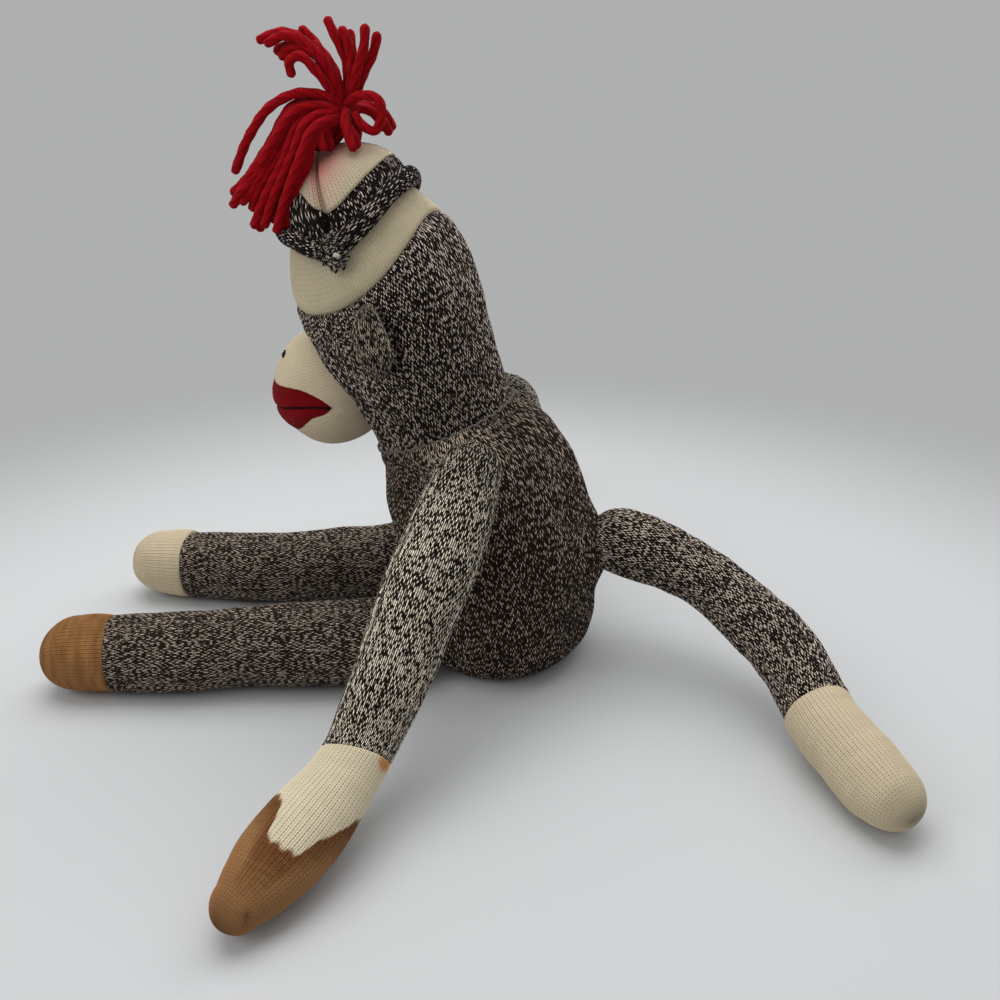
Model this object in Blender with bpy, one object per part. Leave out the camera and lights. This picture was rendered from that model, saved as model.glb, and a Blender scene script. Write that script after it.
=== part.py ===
"""Sock monkey doll, sitting on the floor with its limbs spread.

Metres, +Z up. The doll faces -Y and its left side is +X. The origin is the middle of the
flat seat. Every limb is a knitted sleeve round a stuffing core. A limb's sewn root is a ball
that turns against the body, and a softer place in the limb is a ball end in a dished end.
"""

import math

import bmesh
import bpy
from mathutils import Matrix, Vector

# Knit, thread and fits
CLEARANCE = 0.0003
KNIT = 0.0014
THREAD_RADIUS = 0.0008
POLE_RADIUS = 0.0012
MERGE_DISTANCE = 0.000001
BODY_SIDES = 24
LIMB_SIDES = 12
SMALL_SIDES = 10
THREAD_SIDES = 6
BALL_BANDS = 10
PATH_STEPS = 24
SHARP_ANGLE = 40.0
ROUGHNESS = 0.9

# Torso
TORSO_HEIGHT = 0.1355
TORSO_LEAN = 0.030
TORSO_HALF_DEPTH = 0.053
TORSO_HALF_WIDTH = 0.055
NECK_RADIUS = 0.039
NECK_BALL_RADIUS = 0.037
NECK_TILT = 22.0
NECK_THREAD_RADIUS = 0.0013
NOD_BEND = 20.0

# Head, measured along its own axis from the middle of the neck
HEAD_TILT = 21.5
HEAD_LEAN = 5.0
HEAD_TURN = -8.0
SEAM_SAG = 0.0175
HEAD_RADIUS = 0.0445
HEAD_HEIGHT = 0.129
EAR_DROP = 0.063
EAR_TURN = 14.5
EAR_HALF_HEIGHT = 0.017
EAR_HALF_THICKNESS = 0.007
EAR_REACH = 0.017
EAR_SEAT = 0.0006
MUZZLE_HALF_WIDTH = 0.036
MUZZLE_HALF_DEPTH = 0.0325
MUZZLE_HALF_HEIGHT = 0.031
MUZZLE_FORWARD = 0.0505
MUZZLE_RISE = 0.0325
MOUTH_RISE = 0.030
MOUTH_TURN = 104.0
MOUTH_STEPS = 14
NOSTRIL_RISE = 0.057
NOSTRIL_TURN = 24.0
NOSTRIL_SLANT = 7.0
NOSTRIL_LENGTH = 0.0055
EYE_DROP = 0.055
EYE_SPREAD = 0.0085
EYE_RADIUS = 0.0045
EYE_THICKNESS = 0.0010

# Cap and pompom, on the head's axis
BRIM_DROP = 0.015
BRIM_EASE = 0.0009
BRIM_ROLL_RADIUS = 0.0038
CAP_BAND_HEIGHT = 0.011
CAP_CROWN_RADIUS = 0.029
CAP_CROWN_HEIGHT = 0.016
KNOT_RADIUS = 0.005
KNOT_FLAT_SHARE = 0.6
POMPOM_LIFT = 0.0125
POMPOM_SETBACK = 0.003
POMPOM_CORE_RADIUS = 0.009
POMPOM_ROOT_DEPTH = 0.0015
POMPOM_TIE_RADIUS = 0.0012
POMPOM_TIE_LIFT = 0.0007
YARN_RADIUS = 0.0023
YARN_LENGTH = 0.043
YARN_DROOP_LENGTH = 0.075
YARN_STRANDS = 22
YARN_SIDES = 5
YARN_STEPS = 3

# Arms
SHOULDER_SPREAD = 0.057
SHOULDER_SETFORWARD = 0.006
SHOULDER_HEIGHT = 0.126
SHOULDER_RADIUS = 0.0195
ARM_RADIUS = 0.0185
ARM_LENGTH = 0.134
WRIST_RADIUS = 0.0145
WRIST_BEND = 60.0
HAND_RADIUS = 0.0180
HAND_LENGTH = 0.094
HAND_TIP_RADIUS = 0.012

# Legs
HIP_SPREAD = 0.0466
HIP_FORWARD = 0.0528
HIP_HEIGHT = 0.024
HIP_RADIUS = 0.0235
LEG_RADIUS = 0.0215
THIGH_LENGTH = 0.088
KNEE_RADIUS = 0.021
KNEE_BEND = 78.0
SHIN_LENGTH = 0.093
FOOT_RADIUS = 0.0195
LEFT_FOOT_LENGTH = 0.034
RIGHT_FOOT_LENGTH = 0.029

# Tail
TAIL_SETBACK = 0.0645
TAIL_HEIGHT = 0.068
TAIL_RADIUS = 0.0165
TAIL_ROOT_RADIUS = 0.0175
TAIL_LENGTH = 0.133
TAIL_BEND = 60.0
TAIL_TIP_RADIUS = 0.0172
TAIL_TIP_LENGTH = 0.080

# Ways that the limbs point at rest: azimuth from +X towards +Y and rise above level, in degrees
LEFT_ARM_AIM = ((-19.6, -43.4), (-19.6, -43.4))
LEFT_HAND_AIM = ((-21.0, -20.0), (-24.0, -6.0))
RIGHT_ARM_AIM = ((181.0, -30.0), (181.0, -30.0))
RIGHT_HAND_AIM = ((170.0, -36.0), (162.0, -28.0))
LEFT_THIGH_AIM = ((-79.0, -1.7), (-79.0, -1.7))
LEFT_SHIN_AIM = ((-79.0, -0.9), (-80.0, -0.9))
RIGHT_THIGH_AIM = ((-78.0, -1.7), (-78.0, -1.7))
RIGHT_SHIN_AIM = ((-88.0, -0.9), (-90.0, -0.9))
TAIL_AIM = ((84.0, -12.0), (20.0, -24.0))
TAIL_TIP_AIM = ((22.0, -13.0), (32.0, -3.6))

# Rows of shares. Torso: height, lean, half depth, half width, neck tilt
TORSO_SHARES = (
    (0.000, 0.00, 0.60, 0.66, 0.00),
    (0.030, -0.03, 0.79, 0.85, 0.00),
    (0.110, -0.05, 0.90, 0.94, 0.00),
    (0.250, -0.03, 0.965, 0.985, 0.00),
    (0.410, 0.03, 1.00, 1.00, 0.00),
    (0.555, 0.13, 1.00, 0.985, 0.05),
    (0.705, 0.29, 0.985, 0.93, 0.20),
    (0.815, 0.45, 0.92, 0.855, 0.46),
    (0.895, 0.645, 0.83, 0.775, 0.78),
)
# Head: height and radius
HEAD_SHARES = (
    (0.12, 0.865),
    (0.25, 0.915),
    (0.38, 0.975),
    (0.54, 1.00),
    (0.63, 0.975),
    (0.696, 0.925),
)
CROWN_SHARES = (
    (0.702, 0.920),
    (0.745, 0.872),
    (0.79, 0.815),
    (0.87, 0.690),
    (0.93, 0.560),
    (0.975, 0.380),
    (1.00, 0.140),
)
# How seams sag at the sides of the head: head height, sag and slope towards the face
HEAD_SAG_SHARES = (
    (0.00, 0.00, 0.00),
    (0.46, 0.00, 0.00),
    (0.70, 0.74, 0.17),
    (0.87, 0.00, 0.00),
    (1.30, 0.00, 0.00),
)
CAP_SAG_SHARES = (
    (0.00, 0.00, 0.00),
    (0.86, 1.00, 0.05),
    (0.885, 1.00, 0.05),
    (0.97, 0.70, 0.05),
    (1.10, 0.00, 0.00),
)
# Each seam's sag and the power that shapes it: a low one comes nearer to a fold at the side
HEAD_SEAM_POWER = 2.0
CAP_SEAM_POWER = 1.5
HEAD_SAG = (HEAD_SAG_SHARES, HEAD_SEAM_POWER)
CAP_SAG = (CAP_SAG_SHARES, CAP_SEAM_POWER)
# The slope that a sagging seam slides down: head height and radius
SLIDE_SHARES = HEAD_SHARES + CROWN_SHARES[:4] + ((1.30, 0.02),)
# Limbs: length and radius of the part between the end fittings
ARM_SHARES = ((0.20, 0.98), (0.40, 1.02), (0.62, 0.99), (0.82, 0.86))
HAND_SHARES = ((0.16, 0.83), (0.32, 0.95), (0.52, 1.00), (0.72, 0.95), (0.88, 0.76))
THIGH_SHARES = ((0.35, 1.02), (0.62, 1.01))
SHIN_SHARES = ((0.25, 1.00), (0.48, 0.96), (0.62, 0.93))
TAIL_SHARES = ((0.22, 1.00), (0.42, 0.98), (0.62, 1.00), (0.80, 0.98))
TAIL_TIP_SHARES = ((0.22, 0.95), (0.42, 1.00), (0.62, 0.99), (0.80, 0.90))
DOME_ANGLES = (75.0, 58.0, 40.0, 20.0)
CUP_SHARES = (0.97, 0.8, 0.6, 0.4, 0.2)
DISH_SHARES = (0.62,)
HOOD_SHARES = (0.35, 0.65, 0.86)
EAR_SHARES = (-1.0, -0.92, -0.7, -0.38, 0.0, 0.38, 0.7, 0.92, 1.0)
# Eye: thickness and radius. Cap crown: rise and radius
EYE_SHARES = ((0.0, 1.0), (0.6, 0.94), (1.0, 0.66))
CAP_SHARES = ((0.5, 0.80), (0.8, 0.5))
CAP_TOP_SHARE = 0.2
POMPOM_LOW_SHARE = 1.12

MARL = (0.155, 0.125, 0.105)
PALE_MARL = (0.235, 0.205, 0.175)
CREAM = (0.66, 0.58, 0.42)
STUFFING = (0.86, 0.85, 0.80)
RED_YARN = (0.52, 0.006, 0.018)
BLACK = (0.012, 0.010, 0.010)
PALE_THREAD = (0.34, 0.32, 0.29)
TAN = (0.42, 0.21, 0.075)


def clear_scene():
    """Remove what the file opened with."""
    for obj in list(bpy.data.objects):
        bpy.data.objects.remove(obj, do_unlink=True)


def finish(name, colour):
    """A dull material of one colour for one piece."""
    material = bpy.data.materials.new(name + "_finish")
    material.use_nodes = True
    shader = material.node_tree.nodes["Principled BSDF"]
    shader.inputs["Base Color"].default_value = (*colour, 1.0)
    shader.inputs["Roughness"].default_value = ROUGHNESS
    shader.inputs["Metallic"].default_value = 0.0
    material.diffuse_color = (*colour, 1.0)
    return material


def keep(name, bm, colour, pivot):
    """Turn a bmesh into a smooth-shaded object whose origin is at its pivot."""
    bmesh.ops.recalc_face_normals(bm, faces=bm.faces)
    mesh = bpy.data.meshes.new(name)
    bm.to_mesh(mesh)
    bm.free()
    mesh.shade_smooth()
    mesh.set_sharp_from_angle(angle=math.radians(SHARP_ANGLE))
    mesh.materials.append(finish(name, colour))
    obj = bpy.data.objects.new(name, mesh)
    bpy.context.scene.collection.objects.link(obj)
    obj.matrix_world = pivot
    return obj


def cut(obj, cutter):
    """Cut one object with another, which the model leaves out."""
    modifier = obj.modifiers.new("cut_" + cutter.name, "BOOLEAN")
    modifier.operation = "DIFFERENCE"
    modifier.solver = "EXACT"
    modifier.object = cutter
    cutter.hide_render = True
    cutter.display_type = "WIRE"


def join(obj, other):
    """Join one object to another, whose own shapes may cross, and leave the other out."""
    modifier = obj.modifiers.new("join_" + other.name, "BOOLEAN")
    modifier.operation = "UNION"
    modifier.solver = "EXACT"
    modifier.use_self = True
    modifier.object = other
    other.hide_render = True
    other.display_type = "WIRE"


def sweep(bm, rings, sides, closed=False):
    """Draw a circle out through rings, each a placed unit circle, into one closed solid."""
    made = bmesh.ops.create_circle(
        bm, cap_ends=not closed, segments=sides, radius=1.0, matrix=rings[0]
    )
    edges = list({edge for vert in made["verts"] for edge in vert.link_edges})
    onward = rings[1:] + (rings[:1] if closed else [])
    for before, after in zip(rings, onward):
        drawn = bmesh.ops.extrude_edge_only(bm, edges=edges)["geom"]
        verts = [item for item in drawn if isinstance(item, bmesh.types.BMVert)]
        edges = [item for item in drawn if isinstance(item, bmesh.types.BMEdge) and item.is_boundary]
        bmesh.ops.transform(bm, matrix=after @ before.inverted(), verts=verts)
    if closed:
        bmesh.ops.remove_doubles(bm, verts=bm.verts, dist=MERGE_DISTANCE)
    else:
        bmesh.ops.edgeloop_fill(bm, edges=edges)


def loft(name, rings, sides, colour, pivot, closed=False, reshape=None):
    """Make one solid through rings that are placed in the doll's own frame."""
    bm = bmesh.new()
    local = pivot.inverted()
    sweep(bm, [local @ ring for ring in rings], sides, closed)
    if reshape:
        for vert in bm.verts:
            vert.co = reshape(vert.co)
    return keep(name, bm, colour, pivot)


def ellipsoid(name, centre, half_sizes, sides, colour, pivot):
    """A ball stretched to its half sizes, in the axes of its pivot."""
    bm = bmesh.new()
    placed = Matrix.Translation(centre) @ Matrix.Diagonal((*half_sizes, 1.0))
    bmesh.ops.create_uvsphere(
        bm, u_segments=sides, v_segments=BALL_BANDS, radius=1.0, matrix=placed
    )
    return keep(name, bm, colour, pivot)


def past_facets(radius, sides):
    """The radius of a faceted socket in which a faceted ball of this radius turns freely."""
    flat = math.cos(math.pi / sides) * math.cos(math.pi / (2 * BALL_BANDS))
    return radius / flat + CLEARANCE


def aim(angles):
    """The unit vector of an azimuth and a rise in degrees."""
    azimuth, rise = (math.radians(value) for value in angles)
    level = math.cos(rise)
    return Vector((level * math.cos(azimuth), level * math.sin(azimuth), math.sin(rise)))


def bent_path(start, length, aims):
    """Points at even steps along a limb whose heading turns evenly from its first aim to its last."""
    points = [Vector(start)]
    headings = []
    for step in range(PATH_STEPS):
        share = (step + 0.5) / PATH_STEPS
        turn = [a + (b - a) * share for a, b in zip(*aims)]
        headings.append(aim(turn))
        points.append(points[-1] + headings[-1] * (length / PATH_STEPS))
    return points, headings


def frame_at(path, length, distance):
    """The place and heading at a distance along a path, run on straight past its ends."""
    points, headings = path
    steps = len(headings)
    number = min(max(int(distance / length * steps), 0), steps - 1)
    centre = points[number] + headings[number] * (distance - number * length / steps)
    heading = headings[number]
    if 0 < number < steps - 1:
        share = distance / length * steps - number
        other = headings[number + 1] if share > 0.5 else headings[number - 1]
        heading = heading.lerp(other, abs(share - 0.5)).normalized()
    return Matrix.Translation(centre) @ heading.to_track_quat("Z", "Y").to_matrix().to_4x4()


def along(path, length, stations):
    """Rings along a path from (distance, radius) pairs."""
    return [
        frame_at(path, length, distance) @ Matrix.Diagonal((radius, radius, 1.0, 1.0))
        for distance, radius in stations
    ]


def dome(middle, radius, way):
    """Stations of a round end, from its widest place out to its pole. way is 1 or -1."""
    stations = []
    for angle in DOME_ANGLES:
        turned = math.radians(angle)
        stations.append((middle + way * radius * math.cos(turned), radius * math.sin(turned)))
    stations.append((middle + way * radius, POLE_RADIUS))
    return stations


def dish(middle, ball_radius, bend, wall_radius, sides):
    """Stations of a limb's dished end, from its rim in, round a ball end that bends this far."""
    reach = past_facets(ball_radius, sides)
    turned = math.radians(bend)
    rim = (reach - wall_radius * math.cos(turned)) / math.sin(turned)
    edge = reach * math.cos(turned)
    stations = [(middle - rim, wall_radius), (middle - reach * math.sin(turned), edge)]
    for share in DISH_SHARES:
        depth = math.sqrt(reach**2 - (edge * share) ** 2)
        stations.append((middle - depth, edge * share))
    stations.append((middle - ball_radius - CLEARANCE, POLE_RADIUS))
    return stations


def hood(ball_radius, wall_radius, sides):
    """Stations of the hollow end that sits over a root ball, from its pole out to its rim."""
    reach = past_facets(ball_radius, sides)
    stations = [(ball_radius + CLEARANCE, POLE_RADIUS)]
    for share in HOOD_SHARES:
        stations.append((math.sqrt(reach**2 - (wall_radius * share) ** 2), wall_radius * share))
    stations.append((math.sqrt(reach**2 - wall_radius**2), wall_radius))
    return stations


def between(length, radius, shares, inset):
    """Stations of a limb's wall from rows of shares."""
    return [(length * far, radius * wide - inset) for far, wide in shares]


def rooted_limb(pieces, start, length, aims, sizes, shares, bend, colour):
    """A sleeve and its stuffing between a root ball and a ball end: an arm, a thigh or a tail."""
    root_radius, radius, end_radius = sizes
    path = bent_path(start, length, aims)
    pivot = Matrix.Translation(start)
    sleeve_name, stuffing_name = pieces
    outer = hood(root_radius, radius, LIMB_SIDES)[-1:]
    outer += between(length, radius, shares, 0.0)
    outer += dish(length, end_radius, bend, end_radius, LIMB_SIDES)[:1]
    inner_radius = end_radius - KNIT
    inner = dish(length, end_radius, bend, inner_radius, LIMB_SIDES)[:1]
    inner += reversed(between(length, radius, shares, KNIT))
    inner += hood(root_radius, radius - KNIT, LIMB_SIDES)[-1:]
    loft(sleeve_name, along(path, length, outer + inner), LIMB_SIDES, colour, pivot, closed=True)
    under = KNIT + CLEARANCE
    core = hood(root_radius, radius - under, LIMB_SIDES)
    core += between(length, radius, shares, under)
    core += dish(length, end_radius, bend, end_radius - under, LIMB_SIDES)
    loft(stuffing_name, along(path, length, core), LIMB_SIDES, STUFFING, pivot)
    return frame_at(path, length, length).translation


def ball_end(radius, inset, opening):
    """Stations of a limb's ball end from an opening in its pole out to its widest place."""
    ball = radius - inset
    stations = dome(0.0, ball, -1.0)
    stations.reverse()
    if opening:
        stations = stations[1:]
    return stations


def hand_piece(side, start, aims):
    """A knitted hand, open at the wrist's pole, and its stuffing."""
    path = bent_path(start, HAND_LENGTH, aims)
    pivot = Matrix.Translation(start)
    tip = HAND_LENGTH - HAND_TIP_RADIUS
    under = KNIT + CLEARANCE

    def wall(inset, opening):
        stations = ball_end(WRIST_RADIUS, inset, opening)
        stations.append((0.0, WRIST_RADIUS - inset))
        stations += between(tip, HAND_RADIUS, HAND_SHARES, inset)
        stations += dome(tip, HAND_TIP_RADIUS - inset, 1.0)
        return stations

    shell = list(reversed(wall(0.0, True))) + wall(KNIT, True)
    loft(side + "_hand_knit", along(path, HAND_LENGTH, shell), LIMB_SIDES, CREAM, pivot)
    core = along(path, HAND_LENGTH, wall(under, False))
    loft(side + "_hand_stuffing", core, LIMB_SIDES, STUFFING, pivot)


def shin_piece(side, start, aims, foot_length, foot_colour):
    """A shin sleeve closed at the knee, a toe cap closed at the tip, and the stuffing of both."""
    path = bent_path(start, SHIN_LENGTH, aims)
    pivot = Matrix.Translation(start)
    tip = SHIN_LENGTH - FOOT_RADIUS
    ankle = SHIN_LENGTH - foot_length
    under = KNIT + CLEARANCE

    def upper(inset):
        stations = ball_end(KNEE_RADIUS, inset, False)
        stations.append((0.0, KNEE_RADIUS - inset))
        stations += between(tip, KNEE_RADIUS, SHIN_SHARES, inset)
        return stations

    def seam(inset, setback):
        return [(ankle - setback, FOOT_RADIUS - inset)]

    def toe(inset):
        return dome(tip, FOOT_RADIUS - inset, 1.0)

    sleeve = upper(0.0) + seam(0.0, CLEARANCE) + seam(KNIT, CLEARANCE)
    sleeve += list(reversed(upper(KNIT)))
    loft(side + "_shin_sleeve", along(path, SHIN_LENGTH, sleeve), LIMB_SIDES, MARL, pivot)
    cap = list(reversed(seam(0.0, 0.0) + toe(0.0))) + seam(KNIT, 0.0) + toe(KNIT)
    loft(side + "_foot_knit", along(path, SHIN_LENGTH, cap), LIMB_SIDES, foot_colour, pivot)
    core = along(path, SHIN_LENGTH, upper(under) + seam(under, 0.0) + toe(under))
    loft(side + "_shin_stuffing", core, LIMB_SIDES, STUFFING, pivot)


def tail_tip_piece(start):
    """The tail's pale knitted end, open at its joint's pole, and its stuffing."""
    path = bent_path(start, TAIL_TIP_LENGTH, TAIL_TIP_AIM)
    pivot = Matrix.Translation(start)
    root = TAIL_RADIUS * TAIL_SHARES[-1][1]
    tip = TAIL_TIP_LENGTH - TAIL_TIP_RADIUS
    under = KNIT + CLEARANCE

    def wall(inset, opening):
        stations = ball_end(root, inset, opening)
        stations.append((0.0, root - inset))
        stations += between(tip, TAIL_TIP_RADIUS, TAIL_TIP_SHARES, inset)
        stations += dome(tip, TAIL_TIP_RADIUS * TAIL_TIP_SHARES[-1][1] - inset, 1.0)
        return stations

    shell = list(reversed(wall(0.0, True))) + wall(KNIT, True)
    loft("tail_tip_knit", along(path, TAIL_TIP_LENGTH, shell), LIMB_SIDES, CREAM, pivot)
    core = along(path, TAIL_TIP_LENGTH, wall(under, False))
    loft("tail_tip_stuffing", core, LIMB_SIDES, STUFFING, pivot)


def neck_frame():
    """The middle of the neck, with its axis square to the seam."""
    centre = Vector((0.0, -TORSO_LEAN, TORSO_HEIGHT))
    return Matrix.Translation(centre) @ Matrix.Rotation(math.radians(NECK_TILT), 4, "X")


def head_frame():
    """The head's own axes: +Z up through the crown and -Y through the muzzle."""
    lean = Matrix.Rotation(math.radians(HEAD_LEAN), 4, "Y")
    tilt = Matrix.Rotation(math.radians(HEAD_TILT), 4, "X")
    turn = Matrix.Rotation(math.radians(HEAD_TURN), 4, "Z")
    return Matrix.Translation(neck_frame().translation) @ lean @ tilt @ turn


def neck_rim_drop():
    """How far the torso's rim lies below the neck's middle, so that the head can nod."""
    return NECK_RADIUS * math.tan(math.radians(NOD_BEND) / 2) + THREAD_RADIUS


def torso_rings(inset):
    """The torso's wall from the seat to the neck's rim, drawn in by the inset."""
    rings = []
    for height, lean, depth, width, tilt in TORSO_SHARES:
        lift = inset * (1.0 - height) if height < TORSO_SHARES[3][0] else 0.0
        place = Vector((0.0, -TORSO_LEAN * lean, TORSO_HEIGHT * height + lift))
        turned = Matrix.Rotation(math.radians(NECK_TILT * tilt), 4, "X")
        wide = TORSO_HALF_WIDTH * width - inset
        deep = TORSO_HALF_DEPTH * depth - inset
        rings.append(Matrix.Translation(place) @ turned @ Matrix.Diagonal((wide, deep, 1.0, 1.0)))
    rim = NECK_RADIUS - inset
    drop = Matrix.Translation((0.0, 0.0, -neck_rim_drop()))
    rings.append(neck_frame() @ drop @ Matrix.Diagonal((rim, rim, 1.0, 1.0)))
    return rings


def torso_cutters():
    """Balls that make room in the torso for the limbs' sewn roots."""
    cutters = []
    roots = [
        ("shoulder_room", SHOULDER_RADIUS, (1, -1), shoulder_centre),
        ("hip_room", HIP_RADIUS, (1, -1), hip_centre),
        ("tail_room", TAIL_ROOT_RADIUS, (0,), tail_centre),
    ]
    for name, radius, sides, place in roots:
        for side in sides:
            size = past_facets(radius, BODY_SIDES)
            cutters.append(
                ellipsoid(
                    f"{name}_{side}",
                    (0.0, 0.0, 0.0),
                    (size, size, size),
                    BODY_SIDES,
                    STUFFING,
                    Matrix.Translation(place(side)),
                )
            )
    return cutters


def shoulder_centre(side):
    """The middle of a shoulder's ball, on the doll's left for side 1."""
    return Vector((side * SHOULDER_SPREAD, -SHOULDER_SETFORWARD, SHOULDER_HEIGHT))


def hip_centre(side):
    """The middle of a hip's ball."""
    return Vector((side * HIP_SPREAD, -HIP_FORWARD, HIP_HEIGHT))


def tail_centre(_side=0):
    """The middle of the tail's root ball."""
    return Vector((0.0, TAIL_SETBACK, TAIL_HEIGHT))


def make_torso():
    """The torso's knit, open at the neck, its stuffing with the neck's cup, and the neck's thread."""
    base = Matrix.Identity(4)
    under = KNIT + CLEARANCE
    shell = torso_rings(0.0) + list(reversed(torso_rings(KNIT)))
    skin = loft("torso_skin", shell, BODY_SIDES, MARL, base)
    cup = past_facets(NECK_BALL_RADIUS, BODY_SIDES)
    rings = torso_rings(under)
    drop = neck_rim_drop()
    start = math.acos(drop / cup)
    for share in CUP_SHARES:
        turned = start * share
        level = Matrix.Translation((0.0, 0.0, -cup * math.cos(turned)))
        width = cup * math.sin(turned)
        rings.append(neck_frame() @ level @ Matrix.Diagonal((width, width, 1.0, 1.0)))
    level = Matrix.Translation((0.0, 0.0, -cup))
    rings.append(neck_frame() @ level @ Matrix.Diagonal((POLE_RADIUS, POLE_RADIUS, 1.0, 1.0)))
    stuffing = loft("torso_stuffing", rings, BODY_SIDES, STUFFING, base)
    for cutter in torso_cutters():
        cut(skin, cutter)
        cut(stuffing, cutter)
    spot = neck_rim_drop() - NECK_THREAD_RADIUS - CLEARANCE
    roll("neck_thread", NECK_RADIUS, NECK_THREAD_RADIUS, -spot, BODY_SIDES, PALE_THREAD, neck_frame())


def roll(name, middle, thickness, level, sides, colour, pivot, reshape=None):
    """A closed round roll about the +Z axis of its pivot."""
    rings = []
    for number in range(sides):
        turned = 2 * math.pi * number / sides
        across = Matrix.Rotation(turned, 4, "Z") @ Matrix.Translation((middle, 0.0, level))
        placed = across @ Matrix.Rotation(math.pi / 2, 4, "X")
        rings.append(pivot @ placed @ Matrix.Diagonal((thickness, thickness, 1.0, 1.0)))
    loft(name, rings, THREAD_SIDES, colour, pivot, closed=True, reshape=reshape)


def spun(stations):
    """Rings round the +Z axis from (height, radius) pairs."""
    return [
        Matrix.Translation((0.0, 0.0, height)) @ Matrix.Diagonal((radius, radius, 1.0, 1.0))
        for height, radius in stations
    ]


def head_wall(inset):
    """Stations of the head's barrel, from the neck ball's pole up to the crown's seam."""
    stations = ball_end(NECK_BALL_RADIUS, inset, False)
    stations.append((0.0, NECK_BALL_RADIUS - inset))
    stations += between(HEAD_HEIGHT, HEAD_RADIUS, HEAD_SHARES, inset)
    return stations


def crown_wall(inset):
    """Stations of the pale crown, from its seam to its closed top."""
    stations = between(HEAD_HEIGHT, HEAD_RADIUS, CROWN_SHARES, inset)
    top, wide = CROWN_SHARES[-1]
    stations[-1] = (HEAD_HEIGHT * top - inset, HEAD_RADIUS * wide)
    return stations


def head_radius_at(height, shares=HEAD_SHARES + CROWN_SHARES):
    """The barrel's radius at a height on the head's axis."""
    rows = [(0.0, NECK_BALL_RADIUS)]
    rows += between(HEAD_HEIGHT, HEAD_RADIUS, shares, 0.0)
    for (low, first), (high, second) in zip(rows, rows[1:]):
        if low <= height <= high:
            return first + (second - first) * (height - low) / (high - low)
    return rows[-1][1]


def sagged(point, shares, crease):
    """Where a point of the head or cap lies once the seams sag at the sides of the head."""
    height = point.z / HEAD_HEIGHT
    sag = slope = 0.0
    for low, high in zip(shares, shares[1:]):
        if low[0] <= height <= high[0]:
            share = (height - low[0]) / (high[0] - low[0])
            sag, slope = (a + (b - a) * share for a, b in zip(low[1:], high[1:]))
    if sag == 0.0:
        return point
    reach = math.hypot(point.x, point.y)
    side = 1.0 - abs(point.y / reach) ** crease
    level = point.z - SEAM_SAG * sag * side + slope * point.y
    wider = head_radius_at(level, SLIDE_SHARES) - head_radius_at(point.z, SLIDE_SHARES)
    scale = (reach + wider) / reach
    return Vector((point.x * scale, point.y * scale, level))


def head_loft(name, stations, colour, closed=False, sag=HEAD_SAG):
    """A solid turned on the head's axis, whose seams then sag."""
    pivot = head_frame()
    rings = [pivot @ ring for ring in spun(stations)]

    def reshape(point):
        return sagged(point, *sag)

    return loft(name, rings, BODY_SIDES, colour, pivot, closed=closed, reshape=reshape)


def make_head():
    """The head's knit and stuffing, turned on its axis."""
    head_loft("head_skin", head_wall(0.0) + list(reversed(head_wall(KNIT))), MARL)
    head_loft("head_crown_knit", list(reversed(crown_wall(0.0))) + crown_wall(KNIT), CREAM)
    under = KNIT + CLEARANCE
    head_loft("head_stuffing", head_wall(under) + crown_wall(under), STUFFING)


def barrel_cutter():
    """The head's barrel a clearance larger, which trims what is sewn to its front."""
    stations = head_wall(-CLEARANCE) + crown_wall(-CLEARANCE)
    return head_loft("barrel_room", stations, MARL)


def muzzle_point(turn, rise, proud):
    """A point on the muzzle at a turn in degrees from its front and a height on the head's axis."""
    up = (rise - MUZZLE_RISE) / MUZZLE_HALF_HEIGHT
    level = math.sqrt(1.0 - up**2)
    aside = level * math.sin(math.radians(turn))
    ahead = level * math.cos(math.radians(turn))
    sizes = Vector((MUZZLE_HALF_WIDTH, MUZZLE_HALF_DEPTH, MUZZLE_HALF_HEIGHT))
    share = Vector((aside, -ahead, up))
    out = Vector([a / b for a, b in zip(share, sizes)]).normalized()
    return Vector((0.0, -MUZZLE_FORWARD, MUZZLE_RISE)) + share * sizes + out * proud


def make_muzzle():
    """The muzzle's knitted bag, open at the back, its stuffing, the mouth and the nostrils."""
    pivot = head_frame()
    cutter = barrel_cutter()
    centre = Vector((0.0, -MUZZLE_FORWARD, MUZZLE_RISE))
    sizes = Vector((MUZZLE_HALF_WIDTH, MUZZLE_HALF_DEPTH, MUZZLE_HALF_HEIGHT))
    under = Vector.Fill(3, KNIT)
    clear = Vector.Fill(3, KNIT + CLEARANCE)
    skin = ellipsoid("muzzle_skin", centre, sizes, BODY_SIDES, CREAM, pivot)
    cut(skin, cutter)
    cut(skin, ellipsoid("muzzle_hollow", centre, sizes - under, BODY_SIDES, CREAM, pivot))
    core = ellipsoid("muzzle_stuffing", centre, sizes - clear, BODY_SIDES, STUFFING, pivot)
    cut(core, cutter)
    proud = THREAD_RADIUS + CLEARANCE
    mouth = []
    for step in range(MOUTH_STEPS + 1):
        turn = MOUTH_TURN * (2.0 * step / MOUTH_STEPS - 1.0)
        mouth.append(muzzle_point(turn, MOUTH_RISE, proud))
    tube("mouth_thread", mouth, THREAD_RADIUS, BLACK, pivot)
    for side, sign in (("left", 1), ("right", -1)):
        points = []
        for end in (-1, 0, 1):
            turn = sign * (NOSTRIL_TURN - end * NOSTRIL_SLANT)
            points.append(muzzle_point(turn, NOSTRIL_RISE + end * NOSTRIL_LENGTH / 2, proud))
        tube(side + "_nostril_stitch", points, THREAD_RADIUS, BLACK, pivot)


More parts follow.
